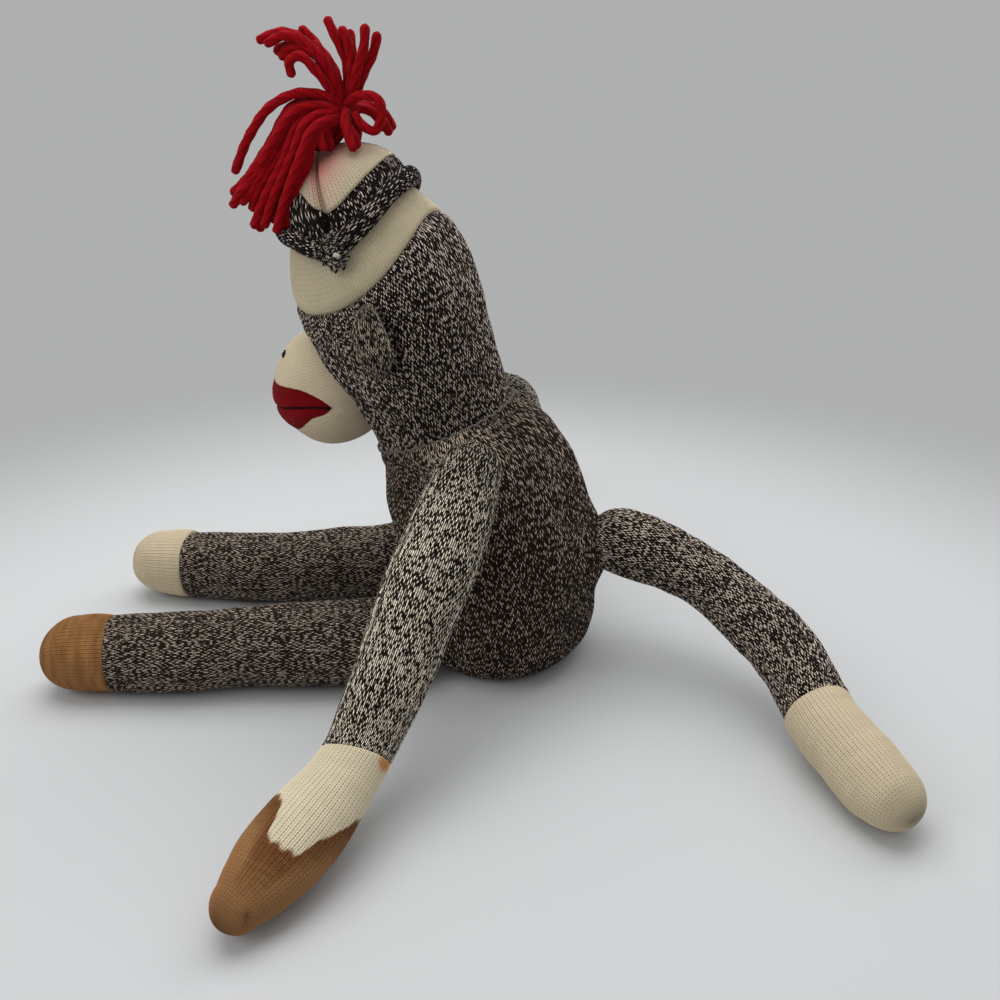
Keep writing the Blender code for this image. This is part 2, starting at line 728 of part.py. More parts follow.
def thread_rings(points, radius):
    """Rings of one radius along points."""
    rings = []
    shape = Matrix.Diagonal((radius, radius, 1.0, 1.0))
    for number, point in enumerate(points):
        before = points[max(number - 1, 0)]
        after = points[min(number + 1, len(points) - 1)]
        heading = (after - before).to_track_quat("Z", "Y").to_matrix().to_4x4()
        rings.append(Matrix.Translation(point) @ heading @ shape)
    return rings


def tube(name, points, radius, colour, pivot):
    """A capped thread along points given in the axes of its pivot."""
    rings = [pivot @ ring for ring in thread_rings(points, radius)]
    return loft(name, rings, THREAD_SIDES, colour, pivot)


def make_eyes():
    """Two flat eyes, each a round patch of black stitches."""
    pivot = head_frame()
    rise = HEAD_HEIGHT - EYE_DROP
    radius = head_radius_at(rise) + CLEARANCE
    for side, sign in (("left", 1), ("right", -1)):
        turned = sign * math.asin(EYE_SPREAD / radius)
        out = Vector((math.sin(turned), -math.cos(turned), 0.0))
        low = Vector((0.0, 0.0, rise)) + out * radius
        facing = out.to_track_quat("Z", "Y").to_matrix().to_4x4()
        stations = [(EYE_THICKNESS * high, EYE_RADIUS * wide) for high, wide in EYE_SHARES]
        placed = pivot @ Matrix.Translation(low) @ facing
        patch = [placed @ ring for ring in spun(stations)]
        loft(side + "_eye_stitch", patch, LIMB_SIDES, BLACK, pivot)


def ear_hinge(sign):
    """The line along which an ear is sewn, beside the barrel."""
    widest = head_radius_at(HEAD_HEIGHT * HEAD_SHARES[3][0])
    place = Vector((sign * (widest + EAR_HALF_THICKNESS + EAR_SEAT), 0.0, HEAD_HEIGHT - EAR_DROP))
    setback = Matrix.Rotation(math.radians(sign * EAR_TURN), 4, "Z")
    return head_frame() @ setback @ Matrix.Translation(place)


def make_ears():
    """Two padded ears that stand out from the sides of the head."""
    for side, sign in (("left", 1), ("right", -1)):
        pivot = ear_hinge(sign)
        middle = (EAR_REACH - EAR_HALF_THICKNESS) / 2
        half = (EAR_REACH + EAR_HALF_THICKNESS) / 2
        rings = []
        for share in EAR_SHARES:
            size = max(math.sqrt(1.0 - share**2), POLE_RADIUS / EAR_HALF_THICKNESS)
            place = Matrix.Translation((sign * middle * size, 0.0, EAR_HALF_HEIGHT * share))
            shape = Matrix.Diagonal((half * size, EAR_HALF_THICKNESS * size, 1.0, 1.0))
            rings.append(pivot @ place @ shape)
        loft(side + "_ear", rings, LIMB_SIDES, MARL, pivot)


def brim_rise():
    """The height of the brim's middle on the head's axis."""
    return HEAD_HEIGHT - BRIM_DROP


def brim_radius():
    """The radius of the brim's middle, which sits loosely round the head."""
    return head_radius_at(brim_rise()) + BRIM_ROLL_RADIUS + BRIM_EASE


def make_cap():
    """The cap's band and crown as open shells, its rolled brim and the brim's sewn gather."""
    pivot = head_frame()
    start = brim_rise() + BRIM_ROLL_RADIUS + CLEARANCE
    seam = brim_rise() + CAP_BAND_HEIGHT
    band = [(start, brim_radius()), (seam, CAP_CROWN_RADIUS)]
    inner = [(height, radius - KNIT) for height, radius in reversed(band)]
    head_loft("cap_band", band + inner, MARL, closed=True, sag=CAP_SAG)

    def crown(inset):
        rows = [(seam + CLEARANCE, CAP_CROWN_RADIUS - inset)]
        for high, wide in CAP_SHARES:
            level = seam + (CAP_CROWN_HEIGHT - inset) * high
            rows.append((level, CAP_CROWN_RADIUS * wide - inset))
        top = seam + CAP_CROWN_HEIGHT - inset
        rows.append((top, CAP_CROWN_RADIUS * CAP_TOP_SHARE - inset / 2))
        return rows

    head_loft("cap_crown", list(reversed(crown(0.0))) + crown(KNIT), CREAM, sag=CAP_SAG)
    roll(
        "cap_brim_roll",
        brim_radius(),
        BRIM_ROLL_RADIUS,
        brim_rise(),
        BODY_SIDES,
        PALE_MARL,
        pivot,
        reshape=lambda point: sagged(point, *CAP_SAG),
    )
    edge = brim_radius() + BRIM_ROLL_RADIUS * math.cos(math.pi / THREAD_SIDES)
    side = sagged(Vector((edge, 0.0, brim_rise())), *CAP_SAG)
    place = side + Vector((KNOT_RADIUS * KNOT_FLAT_SHARE + CLEARANCE, 0.0, 0.0))
    sizes = (KNOT_RADIUS * KNOT_FLAT_SHARE, KNOT_RADIUS, KNOT_RADIUS)
    ellipsoid("cap_knot", place, sizes, SMALL_SIDES, PALE_MARL, pivot)


def pompom_frame():
    """Where the pompom is tied to the cap."""
    level = brim_rise() + CAP_BAND_HEIGHT + CAP_CROWN_HEIGHT
    return head_frame() @ Matrix.Translation((0.0, 0.0, level))


def strand_points(number):
    """One strand: even headings round the core, sheared down by its reach so that none cross."""
    turn = number * math.pi * (3.0 - math.sqrt(5.0))
    height = 1.0 - (number + 0.5) / YARN_STRANDS * POMPOM_LOW_SHARE
    level = math.sqrt(1.0 - height**2)
    heading = Vector((level * math.cos(turn), level * math.sin(turn), height))
    core = Vector((0.0, POMPOM_SETBACK, POMPOM_LIFT))
    points = []
    for step in range(YARN_STEPS + 1):
        reach = POMPOM_CORE_RADIUS - POMPOM_ROOT_DEPTH + YARN_LENGTH * step / YARN_STEPS
        flat = heading * reach
        drop = (flat.x**2 + flat.y**2) / YARN_DROOP_LENGTH
        points.append(core + flat - Vector((0.0, 0.0, drop)))
    return points


def make_pompom():
    """The tie, and the yarn as strands joined to a core."""
    pivot = pompom_frame()
    centre = Vector((0.0, POMPOM_SETBACK, POMPOM_LIFT))
    core = bmesh.new()
    size = POMPOM_CORE_RADIUS
    placed = Matrix.Translation(centre) @ Matrix.Diagonal((size, size, size, 1.0))
    bmesh.ops.create_icosphere(core, subdivisions=2, radius=1.0, matrix=placed)
    yarn = keep("pompom_yarn", core, RED_YARN, pivot)
    strands = bmesh.new()
    for number in range(YARN_STRANDS):
        sweep(strands, thread_rings(strand_points(number), YARN_RADIUS), YARN_SIDES)
    join(yarn, keep("pompom_strands", strands, RED_YARN, pivot))
    level = POMPOM_TIE_RADIUS + POMPOM_TIE_LIFT
    middle = POMPOM_TIE_RADIUS * 2
    roll("pompom_tie", middle, POMPOM_TIE_RADIUS, level, SMALL_SIDES, RED_YARN, pivot)


def make_root(name, centre, radius, colour):
    """A limb's sewn root: a ball whose pivot is its middle."""
    sizes = (radius, radius, radius)
    ellipsoid(name, (0.0, 0.0, 0.0), sizes, LIMB_SIDES, colour, Matrix.Translation(centre))


def make_limbs():
    """Both arms, both legs and the tail."""
    arms = {"left": (1, LEFT_ARM_AIM, LEFT_HAND_AIM), "right": (-1, RIGHT_ARM_AIM, RIGHT_HAND_AIM)}
    for side, (sign, arm_aim, hand_aim) in arms.items():
        start = shoulder_centre(sign)
        make_root(side + "_arm_root", start, SHOULDER_RADIUS, PALE_MARL)
        names = (side + "_arm_sleeve", side + "_arm_stuffing")
        sizes = (SHOULDER_RADIUS, ARM_RADIUS, WRIST_RADIUS)
        wrist = rooted_limb(
            names, start, ARM_LENGTH, arm_aim, sizes, ARM_SHARES, WRIST_BEND, PALE_MARL
        )
        hand_piece(side, wrist, hand_aim)
    legs = {
        "left": (1, LEFT_THIGH_AIM, LEFT_SHIN_AIM, LEFT_FOOT_LENGTH, TAN),
        "right": (-1, RIGHT_THIGH_AIM, RIGHT_SHIN_AIM, RIGHT_FOOT_LENGTH, CREAM),
    }
    for side, (sign, thigh_aim, shin_aim, foot_length, foot_colour) in legs.items():
        start = hip_centre(sign)
        make_root(side + "_leg_root", start, HIP_RADIUS, MARL)
        names = (side + "_thigh_sleeve", side + "_thigh_stuffing")
        sizes = (HIP_RADIUS, LEG_RADIUS, KNEE_RADIUS)
        knee = rooted_limb(
            names, start, THIGH_LENGTH, thigh_aim, sizes, THIGH_SHARES, KNEE_BEND, MARL
        )
        shin_piece(side, knee, shin_aim, foot_length, foot_colour)
    start = tail_centre()
    make_root("tail_root", start, TAIL_ROOT_RADIUS, MARL)
    end_radius = TAIL_RADIUS * TAIL_SHARES[-1][1]
    sizes = (TAIL_ROOT_RADIUS, TAIL_RADIUS, end_radius)
    names = ("tail_sleeve", "tail_stuffing")
    end = rooted_limb(names, start, TAIL_LENGTH, TAIL_AIM, sizes, TAIL_SHARES, TAIL_BEND, MARL)
    tail_tip_piece(end)


def main():
    """Build the doll piece by piece."""
    clear_scene()
    make_torso()
    make_head()
    make_muzzle()
    make_eyes()
    make_ears()
    make_cap()
    make_pompom()
    make_limbs()


main()
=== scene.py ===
"""Looks of a stuffed sock monkey doll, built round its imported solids.

Metres, +Z up. The doll faces -Y and its left side is +X. Each knitted piece is a grid of
stitches rolled into a tube or a bag, with a UV map that counts stitches: columns across and
rows along.
"""

import logging
import math
from dataclasses import dataclass, field
from enum import Enum
from typing import Callable, Optional, Sequence

import bmesh
import bpy
import numpy as np
from mathutils import Matrix, Vector


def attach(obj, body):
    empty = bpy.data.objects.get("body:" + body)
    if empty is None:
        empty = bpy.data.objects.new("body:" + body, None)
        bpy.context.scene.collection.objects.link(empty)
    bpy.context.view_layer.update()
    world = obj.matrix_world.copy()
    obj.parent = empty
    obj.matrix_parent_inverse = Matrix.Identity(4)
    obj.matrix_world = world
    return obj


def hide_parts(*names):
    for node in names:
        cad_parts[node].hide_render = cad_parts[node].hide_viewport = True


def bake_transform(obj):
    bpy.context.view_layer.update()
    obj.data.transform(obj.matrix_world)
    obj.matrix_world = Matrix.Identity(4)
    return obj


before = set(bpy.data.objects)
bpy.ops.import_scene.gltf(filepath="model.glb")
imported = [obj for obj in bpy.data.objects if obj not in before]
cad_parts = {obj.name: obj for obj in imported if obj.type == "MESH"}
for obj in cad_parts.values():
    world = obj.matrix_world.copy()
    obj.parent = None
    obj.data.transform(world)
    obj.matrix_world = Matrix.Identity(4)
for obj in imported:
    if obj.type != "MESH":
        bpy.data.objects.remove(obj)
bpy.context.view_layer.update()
LOG = logging.getLogger("sock_monkey")

Colour = tuple[float, float, float]
Point = tuple[float, float, float]
Mark = Callable[[np.ndarray, np.ndarray, np.ndarray], np.ndarray]
Shape = Callable[[np.ndarray, np.ndarray, np.ndarray], np.ndarray]

NECK_SPOT = (0.0, -0.03, 0.1355)
STITCH_MAP = "stitches"
COLUMN_VERTS = 4
SLEEVE_PITCH = 0.00155
CREAM_PITCH = 0.00150
KNOT_LOOP = ((-1.4, -0.0022), (-0.7, -0.0002), (0.0, 0.0004), (0.7, -0.0002), (1.4, -0.0022))
KNOT_TAIL = (
    (-0.4, -5.0, 0.0),
    (-1.2, -7.4, 1.6),
    (0.2, -9.0, 1.8),
    (1.3, -7.2, 1.5),
    (0.5, -5.0, 0.0),
)
COLUMN_RELIEF = (-1.0, 0.55, 0.15, 0.55)
RELIEF_FADE = 0.006
RIDGE_POWER = 1.9
HUMP_POWER = 2.6
GROOVE_START = 0.72
FIBRE_ROUGHNESS = 0.45
YARN_SPECULAR = 0.08


class Slot(Enum):
    """The record's material slots."""

    MARL = "marl_knit"
    PALE_MARL = "pale_marl_knit"
    CREAM = "cream_knit"
    TAN = "tan_knit"
    YARN = "red_yarn"
    BLACK = "black_thread"
    GREY = "pale_thread"


class Ending(Enum):
    """How a knitted limb is closed at one of its ends."""

    DOME = "dome"
    FLAT = "flat"


class Graph:
    """A material's node tree, built one node at a time."""

    def __init__(self, name: str, roughness: float, sheen: float) -> None:
        """Start a dull material.

        Args:
            name: The material's name.
            roughness: How dull its surface is.
            sheen: How much its loose fibres catch the light.
        """
        self.material = bpy.data.materials.new(name)
        self.material.use_nodes = True
        self.nodes = self.material.node_tree.nodes
        self.links = self.material.node_tree.links
        self.surface = self.nodes["Principled BSDF"]
        self.surface.inputs["Roughness"].default_value = roughness
        self.surface.inputs["Sheen Weight"].default_value = sheen
        self.surface.inputs["Sheen Roughness"].default_value = FIBRE_ROUGHNESS
        self.surface.inputs["Specular IOR Level"].default_value = YARN_SPECULAR

    def add(self, kind: str, **inputs: object) -> bpy.types.Node:
        """Add a node and set or link its inputs.

        Args:
            kind: The node's type.
            inputs: Values or sockets by input name, with underscores for blanks.

        Returns:
            The new node.
        """
        node = self.nodes.new(kind)
        for key, value in inputs.items():
            self.feed(node.inputs[key.replace("_", " ")], value)
        return node

    def feed(self, socket: bpy.types.NodeSocket, value: object) -> None:
        """Link a socket to another one, or give it a value.

        Args:
            socket: The input.
            value: Another socket or a plain value.
        """
        if isinstance(value, bpy.types.NodeSocket):
            self.links.new(value, socket)
        elif socket.type == "RGBA" and len(value) == 3:
            socket.default_value = (*value, 1.0)
        else:
            socket.default_value = value

    def maths(self, operation: str, *values: object) -> bpy.types.NodeSocket:
        """Work out one value.

        Args:
            operation: The kind of sum.
            values: Numbers or sockets.

        Returns:
            The result.
        """
        node = self.nodes.new("ShaderNodeMath")
        node.operation = operation
        for socket, value in zip(node.inputs, values):
            self.feed(socket, value)
        return node.outputs[0]

    def ramp(self, value: object, low: float, high: float) -> bpy.types.NodeSocket:
        """Rise smoothly from 0 to 1 as a value goes from low to high.

        Args:
            value: The socket that is read.
            low: Where the rise starts.
            high: Where it ends.

        Returns:
            A share from 0 to 1.
        """
        node = self.nodes.new("ShaderNodeMapRange")
        node.interpolation_type = "SMOOTHSTEP"
        self.feed(node.inputs["Value"], value)
        node.inputs["From Min"].default_value = low
        node.inputs["From Max"].default_value = high
        return node.outputs["Result"]

    def mix(self, share: object, first: object, second: object) -> bpy.types.NodeSocket:
        """Blend two colours.

        Args:
            share: How much of the second there is.
            first: A colour or socket.
            second: A colour or socket.

        Returns:
            The blended colour.
        """
        node = self.nodes.new("ShaderNodeMix")
        node.data_type = "RGBA"
        node.clamp_factor = True
        self.feed(node.inputs[0], share)
        self.feed(node.inputs[6], first)
        self.feed(node.inputs[7], second)
        return node.outputs[2]

    def darken(self, colour: object, share: object) -> bpy.types.NodeSocket:
        """Scale a colour by a share.

        Args:
            colour: A colour or socket.
            share: What is left of it, from 0 to 1.

        Returns:
            The scaled colour.
        """
        node = self.nodes.new("ShaderNodeVectorMath")
        node.operation = "SCALE"
        self.feed(node.inputs[0], colour)
        self.feed(node.inputs["Scale"], share)
        return node.outputs[0]

    def join(self, x: object, y: object, z: object = 0.0) -> bpy.types.NodeSocket:
        """Join three values into a vector."""
        return self.add("ShaderNodeCombineXYZ", X=x, Y=y, Z=z).outputs[0]

    def noise(self, vector: object, scale: float, detail: float = 2.0) -> bpy.types.NodeSocket:
        """Cloudy noise with its contrast raised to fill the range from 0 to 1.

        Args:
            vector: Where it is read.
            scale: How fine it is.
            detail: How many finer layers it has.

        Returns:
            A value about one half.
        """
        node = self.add("ShaderNodeTexNoise", Vector=vector, Scale=scale, Detail=detail)
        raised = self.maths("SUBTRACT", node.outputs[0], 0.5)
        return self.maths("MULTIPLY_ADD", raised, 2.0, 0.5)

    def chance(self, x: object, y: object, z: object = 0.0) -> bpy.types.NodeSocket:
        """A random value that stays the same wherever its three numbers do."""
        return self.add("ShaderNodeTexWhiteNoise", Vector=self.join(x, y, z)).outputs[0]

    def weigh(self, *parts: tuple[object, float]) -> bpy.types.NodeSocket:
        """Add up values, each times its weight.

        Args:
            parts: Pairs of a value and its weight.

        Returns:
            The sum.
        """
        total = 0.0
        for value, weight in parts:
            total = self.maths("MULTIPLY_ADD", value, weight, total)
        return total

    def mark(self, name: str) -> bpy.types.NodeSocket:
        """Read one of the mesh's marks."""
        node = self.nodes.new("ShaderNodeAttribute")
        node.attribute_name = name
        return node.outputs["Fac"]

    def finish(self, colour: object, height: object, depth: float) -> bpy.types.Material:
        """Give the surface its colour and relief.

        Args:
            colour: The colour socket.
            height: The relief from 0 to 1.
            depth: How deep the relief is, in metres.

        Returns:
            The finished material.
        """
        self.feed(self.surface.inputs["Base Color"], colour)
        bump = self.add("ShaderNodeBump", Height=height)
        bump.inputs["Distance"].default_value = depth
        bump.inputs["Strength"].default_value = 1.0
        self.feed(self.surface.inputs["Normal"], bump.outputs[0])
        return self.material


@dataclass
class Stitch:
    """Where a point lies in its stitch: sockets that every knit finish reads."""

    graph: Graph
    slant: float
    split: float = 1.0
    ridge: bpy.types.NodeSocket = field(init=False)
    hump: bpy.types.NodeSocket = field(init=False)
    groove: bpy.types.NodeSocket = field(init=False)
    leg: bpy.types.NodeSocket = field(init=False)
    along: bpy.types.NodeSocket = field(init=False)
    across: bpy.types.NodeSocket = field(init=False)
    apart: bpy.types.NodeSocket = field(init=False)

    def __post_init__(self) -> None:
        """Lay out the two slanting legs of a stitch in its column."""
        graph = self.graph
        node = graph.nodes.new("ShaderNodeUVMap")
        node.uv_map = STITCH_MAP
        parts = graph.add("ShaderNodeSeparateXYZ", Vector=node.outputs[0]).outputs
        self.across = graph.maths("MULTIPLY", parts[0], self.split)
        centred = graph.maths("SUBTRACT", graph.maths("FRACT", self.across), 0.5)
        side = graph.maths("GREATER_THAN", centred, 0.0)
        self.apart = graph.maths("MULTIPLY", graph.maths("ABSOLUTE", centred), 2.0)
        self.along = graph.maths("MULTIPLY_ADD", self.apart, self.slant, parts[1])
        phase = graph.maths("FRACT", self.along)
        whole = graph.maths("FLOOR", self.across)
        self.leg = graph.maths("MULTIPLY_ADD", whole, 2.0, side)
        self.ridge = self.rounded(self.apart, RIDGE_POWER)
        self.hump = self.rounded(phase, HUMP_POWER)
        self.groove = graph.ramp(self.apart, GROOVE_START, 1.0)

    def rounded(self, value: bpy.types.NodeSocket, power: float) -> bpy.types.NodeSocket:
        """A yarn's rounded height across a value from 0 to 1.

        Args:
            value: Where across the yarn the point lies.
            power: How flat its top is.

        Returns:
            1 at the middle and 0 at the edges.
        """
        graph = self.graph
        off = graph.maths("ABSOLUTE", graph.maths("MULTIPLY_ADD", value, 2.0, -1.0))
        return graph.maths("SUBTRACT", 1.0, graph.maths("POWER", off, power))

    def height(self, along: float) -> bpy.types.NodeSocket:
        """The knit's relief.

        Args:
            along: How much of it comes from the rows.

        Returns:
            A height from 0 to 1.
        """
        graph = self.graph
        rows = graph.maths("MULTIPLY_ADD", self.hump, along, 1.0 - along)
        return graph.maths("MULTIPLY", self.ridge, rows)


@dataclass(frozen=True)
class MarlKnit:
    """Knit of a twisted dark and off-white yarn, whose flecks fall by chance.

    The runs, bands and twist say how much of the pattern follows long runs of one colour, bands
    across the knit and the even turns of the two plies. The rates count them in a row of stitches.
    """

    name: str
    dark: Colour
    light: Colour
    light_share: float
    runs: float
    bands: float
    twist: float = 0.44
    thin: float = 0.92
    depth: float = 0.0005
    split: float = 1.5
    slant: float = 0.85
    fuzz: float = 0.22
    softness: float = 0.07
    scatter: float = 0.45
    dash_rate: float = 0.72
    run_rate: float = 0.27
    ply_rate: float = 0.42
    band_rates: tuple[float, float] = (0.17, 0.42)
    # Weights of the mesh's pale mark, which is painted light, or painted shade below 0, in the
    # light share and the light ply's colour.
    painted_light_weights: tuple[float, float] = (0.14, 0.5)

    def flecks(self, graph: Graph, stitch: Stitch, run_out: tuple) -> bpy.types.NodeSocket:
        """Where the light ply shows.

        Args:
            graph: The finish's nodes.
            stitch: Where a point lies in its stitch.
            run_out: The dash that a point lies in, and where its leg's first dash starts.

        Returns:
            A share from 0 to 1.
        """
        along, leg = stitch.along, stitch.leg
        dash, start = run_out
        run = graph.noise(graph.join(leg, graph.maths("MULTIPLY", along, self.run_rate)), 1.0)
        across, down = self.band_rates
        wide = graph.maths("MULTIPLY", stitch.across, across)
        high = graph.maths("MULTIPLY", along, down)
        band = graph.noise(graph.join(wide, high, 7.0), 1.0)
        fuzz = graph.noise(graph.join(leg, along, stitch.apart), 1.7)
        turn = graph.weigh((leg, 0.5), (start, self.scatter), (along, self.ply_rate), (run, 0.5))
        phase = graph.maths("FRACT", turn)
        ply = graph.maths("ABSOLUTE", graph.maths("MULTIPLY_ADD", phase, 2.0, -1.0))
        total = graph.weigh(
            (graph.chance(leg, dash), 1.0 - self.runs - self.bands - self.twist),
            (ply, self.twist),
            (run, self.runs),
            (band, self.bands),
            (fuzz, self.fuzz),
            # painted light and shade from the pale mark shift the light share
            (graph.mark("pale"), self.painted_light_weights[0]),
        )
        level = 1.0 + self.fuzz / 2 - self.light_share
        share = graph.ramp(total, level - self.softness, level + self.softness)
        rise = graph.maths("MULTIPLY_ADD", graph.ramp(stitch.hump, 0.0, 0.6), 0.45, 0.55)
        core = graph.maths("MULTIPLY", graph.ramp(stitch.ridge, 0.46, 0.94), rise)
        shown = graph.maths("MULTIPLY_ADD", core, self.thin, 1.0 - self.thin)
        return graph.maths("MULTIPLY", share, shown)

    def material(self) -> bpy.types.Material:
        """Build the marled finish.

        Returns:
            The material.
        """
        graph = Graph(self.name, 0.92, 0.015)
        stitch = Stitch(graph, self.slant, self.split)
        start = graph.chance(stitch.leg, 0.0, 5.0)
        spot = graph.maths("MULTIPLY_ADD", stitch.along, self.dash_rate, start)
        dash = graph.maths("FLOOR", spot)
        share = self.flecks(graph, stitch, (dash, start))
        tone = graph.maths("MULTIPLY_ADD", graph.chance(dash, stitch.leg, 3.0), 0.45, 0.70)
        # The pale mark paints light on the light ply, and shade where it is below 0.
        paler = graph.maths("MULTIPLY_ADD", graph.mark("pale"), self.painted_light_weights[1], 1.0)
        pale = graph.darken(graph.darken(self.light, tone), paler)
        colour = graph.mix(share, self.dark, pale)
        height = stitch.height(0.45)
        # Painted shade: darker low in the stitch relief, and under the mesh's shade mark round the
        # ears.
        lit = graph.maths("MULTIPLY_ADD", height, 1.0, 0.20)
        drawn = graph.maths("MULTIPLY_ADD", graph.mark("shade"), -0.75, 1.0)
        colour = graph.darken(colour, graph.maths("MULTIPLY", lit, drawn))
        return graph.finish(colour, height, self.depth)


@dataclass(frozen=True)
class Dye:
    """A coloured area, marked on the mesh by how far inside its edge a point lies."""

    mark: str
    near: Colour
    far: Colour
    fade: float
    edge: float = 0.0005
    waver: float = 0.0009


@dataclass(frozen=True)
class RibKnit:
    """Plain fine knit with painted shade in the gaps between its columns, and areas of other
    colours.
    """

    name: str
    base: Colour
    gap: float = 0.5
    mottle: float = 0.10
    depth: float = 0.00035
    dyes: tuple[Dye, ...] = ()
    split: float = 1.0
    slant: float = 0.55
    groove_shade: float = 0.22
    fold_shade: float = 0.8
    row_shade: float = 0.42
    fullness: float = 1.12

    def material(self) -> bpy.types.Material:
        """Build the plain finish.

        Returns:
            The material.
        """
        graph = Graph(self.name, 0.90, 0.03)
        stitch = Stitch(graph, self.slant, self.split)
        plane = graph.join(graph.maths("MULTIPLY", stitch.across, 0.35), stitch.along)
        cloud = graph.noise(plane, 0.35)
        colour = graph.darken(self.base, graph.maths("MULTIPLY_ADD", cloud, -self.mottle, 1.0))
        for dye in self.dyes:
            inside = graph.mark(dye.mark)
            far = graph.ramp(inside, 0.0, dye.fade)
            blotch = graph.noise(plane, 0.8)
            tint = graph.mix(graph.maths("MULTIPLY_ADD", blotch, 0.35, far), dye.near, dye.far)
            shaky = graph.maths("MULTIPLY_ADD", blotch, dye.waver, inside)
            edge = graph.ramp(shaky, -dye.edge, dye.edge)
            colour = graph.mix(edge, colour, tint)
        height = stitch.height(0.4)
        # Painted shade: darker in the holes, column grooves and row dips of the stitches, and under
        # the mesh's shade mark.
        hole = graph.maths("MULTIPLY", stitch.groove, graph.maths("SUBTRACT", 1.0, stitch.hump))
        dip = graph.maths("POWER", graph.maths("SUBTRACT", 1.0, stitch.hump), 2.0)
        shade = graph.weigh(
            (hole, self.gap),
            (stitch.groove, self.groove_shade),
            (graph.mark("shade"), self.fold_shade),
            (dip, self.gap * self.row_shade),
        )
        colour = graph.darken(colour, graph.maths("SUBTRACT", self.fullness, shade))
        return graph.finish(colour, height, self.depth)


@dataclass(frozen=True)
class SpunYarn:
    """Twisted yarn or thread, with painted shade between its plies."""

    name: str
    colour: Colour
    lobes: int
    shade: float = 0.5
    depth: float = 0.0002

    def material(self) -> bpy.types.Material:
        """Build the yarn's finish.

        Returns:
            The material.
        """
        graph = Graph(self.name, 0.85, 0.02)
        node = graph.nodes.new("ShaderNodeUVMap")
        node.uv_map = STITCH_MAP
        parts = graph.add("ShaderNodeSeparateXYZ", Vector=node.outputs[0]).outputs
        ply = graph.maths("FRACT", graph.maths("MULTIPLY", parts[0], float(self.lobes)))
        off = graph.maths("ABSOLUTE", graph.maths("MULTIPLY_ADD", ply, 2.0, -1.0))
        crown = graph.maths("SUBTRACT", 1.0, graph.maths("POWER", off, 2.5))
        hairs = graph.noise(graph.join(graph.maths("MULTIPLY", parts[0], 26.0), parts[1]), 0.9, 3.0)
        part = graph.maths("MULTIPLY_ADD", hairs, 0.5, graph.maths("MULTIPLY", crown, 0.5))
        # Painted shade between the plies.
        left = graph.maths("MULTIPLY_ADD", part, self.shade, 1.0 - self.shade * 0.8)
        return graph.finish(graph.darken(self.colour, left), part, self.depth)


@dataclass(frozen=True)
class Sweep:
    """The studio's floor, with a painted pool of light that fades into a glowing backdrop grey."""

    name: str
    near: Colour
    far: Colour
    middle: Point = (0.12, 0.0, 0.0)
    start: float = 0.30
    end: float = 0.66

    def material(self) -> bpy.types.Material:
        """Build the floor's finish.

        Returns:
            The material.
        """
        graph = Graph(self.name, 0.9, 0.0)
        place = graph.nodes.new("ShaderNodeTexCoord").outputs["Object"]
        gap = graph.nodes.new("ShaderNodeVectorMath")
        gap.operation = "DISTANCE"
        graph.feed(gap.inputs[0], place)
        gap.inputs[1].default_value = self.middle
        # Painted light: brighter near the doll; past the ramp the floor glows grey instead of being
        # lit.
        share = graph.ramp(gap.outputs["Value"], self.start, self.end)
        graph.surface.inputs["Base Color"].default_value = (*self.near, 1.0)
        glow = graph.add("ShaderNodeEmission", Color=self.far)
        both = graph.nodes.new("ShaderNodeMixShader")
        graph.feed(both.inputs[0], share)
        graph.links.new(graph.surface.outputs[0], both.inputs[1])
        graph.links.new(glow.outputs[0], both.inputs[2])
        graph.links.new(both.outputs[0], graph.nodes["Material Output"].inputs["Surface"])
        return graph.material


def eased(spots: Sequence[float], rows: Sequence, wanted: np.ndarray) -> np.ndarray:
    """Run a smooth curve through rows of values without overshooting any of them.

    Args:
        spots: Where each row stands, rising.
        rows: One value or several at each spot.
        wanted: Where the curve is read.

    Returns:
        One row of values for each wanted spot, flat where the rows are single values.
    """
    x = np.asarray(spots, float)
    y = np.asarray(rows, float)
    single = y.ndim == 1
    y = y.reshape(len(x), -1)
    gap = np.diff(x)[:, None]
    rise = np.diff(y, axis=0) / gap
    slope = np.zeros_like(y)
    low, high = rise[:-1], rise[1:]
    same = low * high > 0
    first = 2 * gap[1:] + gap[:-1]
    second = gap[1:] + 2 * gap[:-1]
    safe_low = np.where(same, low, 1.0)
    safe_high = np.where(same, high, 1.0)
    slope[1:-1] = np.where(same, (first + second) / (first / safe_low + second / safe_high), 0.0)
    slope[0], slope[-1] = rise[0], rise[-1]
    wanted = np.asarray(wanted, float)
    place = np.clip(np.searchsorted(x, wanted, side="right") - 1, 0, len(x) - 2)
    span = gap[place]
    t = np.clip((wanted[:, None] - x[place][:, None]) / span, 0.0, 1.0)
    curve = (2 * t**3 - 3 * t**2 + 1) * y[place] + (t**3 - 2 * t**2 + t) * span * slope[place]
    curve += (3 * t**2 - 2 * t**3) * y[place + 1] + (t**3 - t**2) * span * slope[place + 1]
    return curve[:, 0] if single else curve


def units(vectors: np.ndarray) -> np.ndarray:
    """Scale vectors to a length of one."""
    return vectors / np.maximum(np.linalg.norm(vectors, axis=-1, keepdims=True), 1e-9)


def lumps(points: np.ndarray, size: float, depth: float, seed: int) -> np.ndarray:
    """Soft uneven swelling, as of stuffing.

    Args:
        points: Where it is read.
        size: How far apart the swellings lie.
        depth: How high they are.
        seed: Which set of swellings it is.

    Returns:
        One height per point.
    """
    chance = np.random.default_rng(seed)
    total = np.zeros(len(points))
    for _ in range(7):
        way = units(chance.normal(size=3))
        pitch = size * chance.uniform(0.7, 1.5)
        total += np.sin(points @ way * (2 * math.pi / pitch) + chance.uniform(0, 2 * math.pi))
    return total * depth / math.sqrt(7.0)


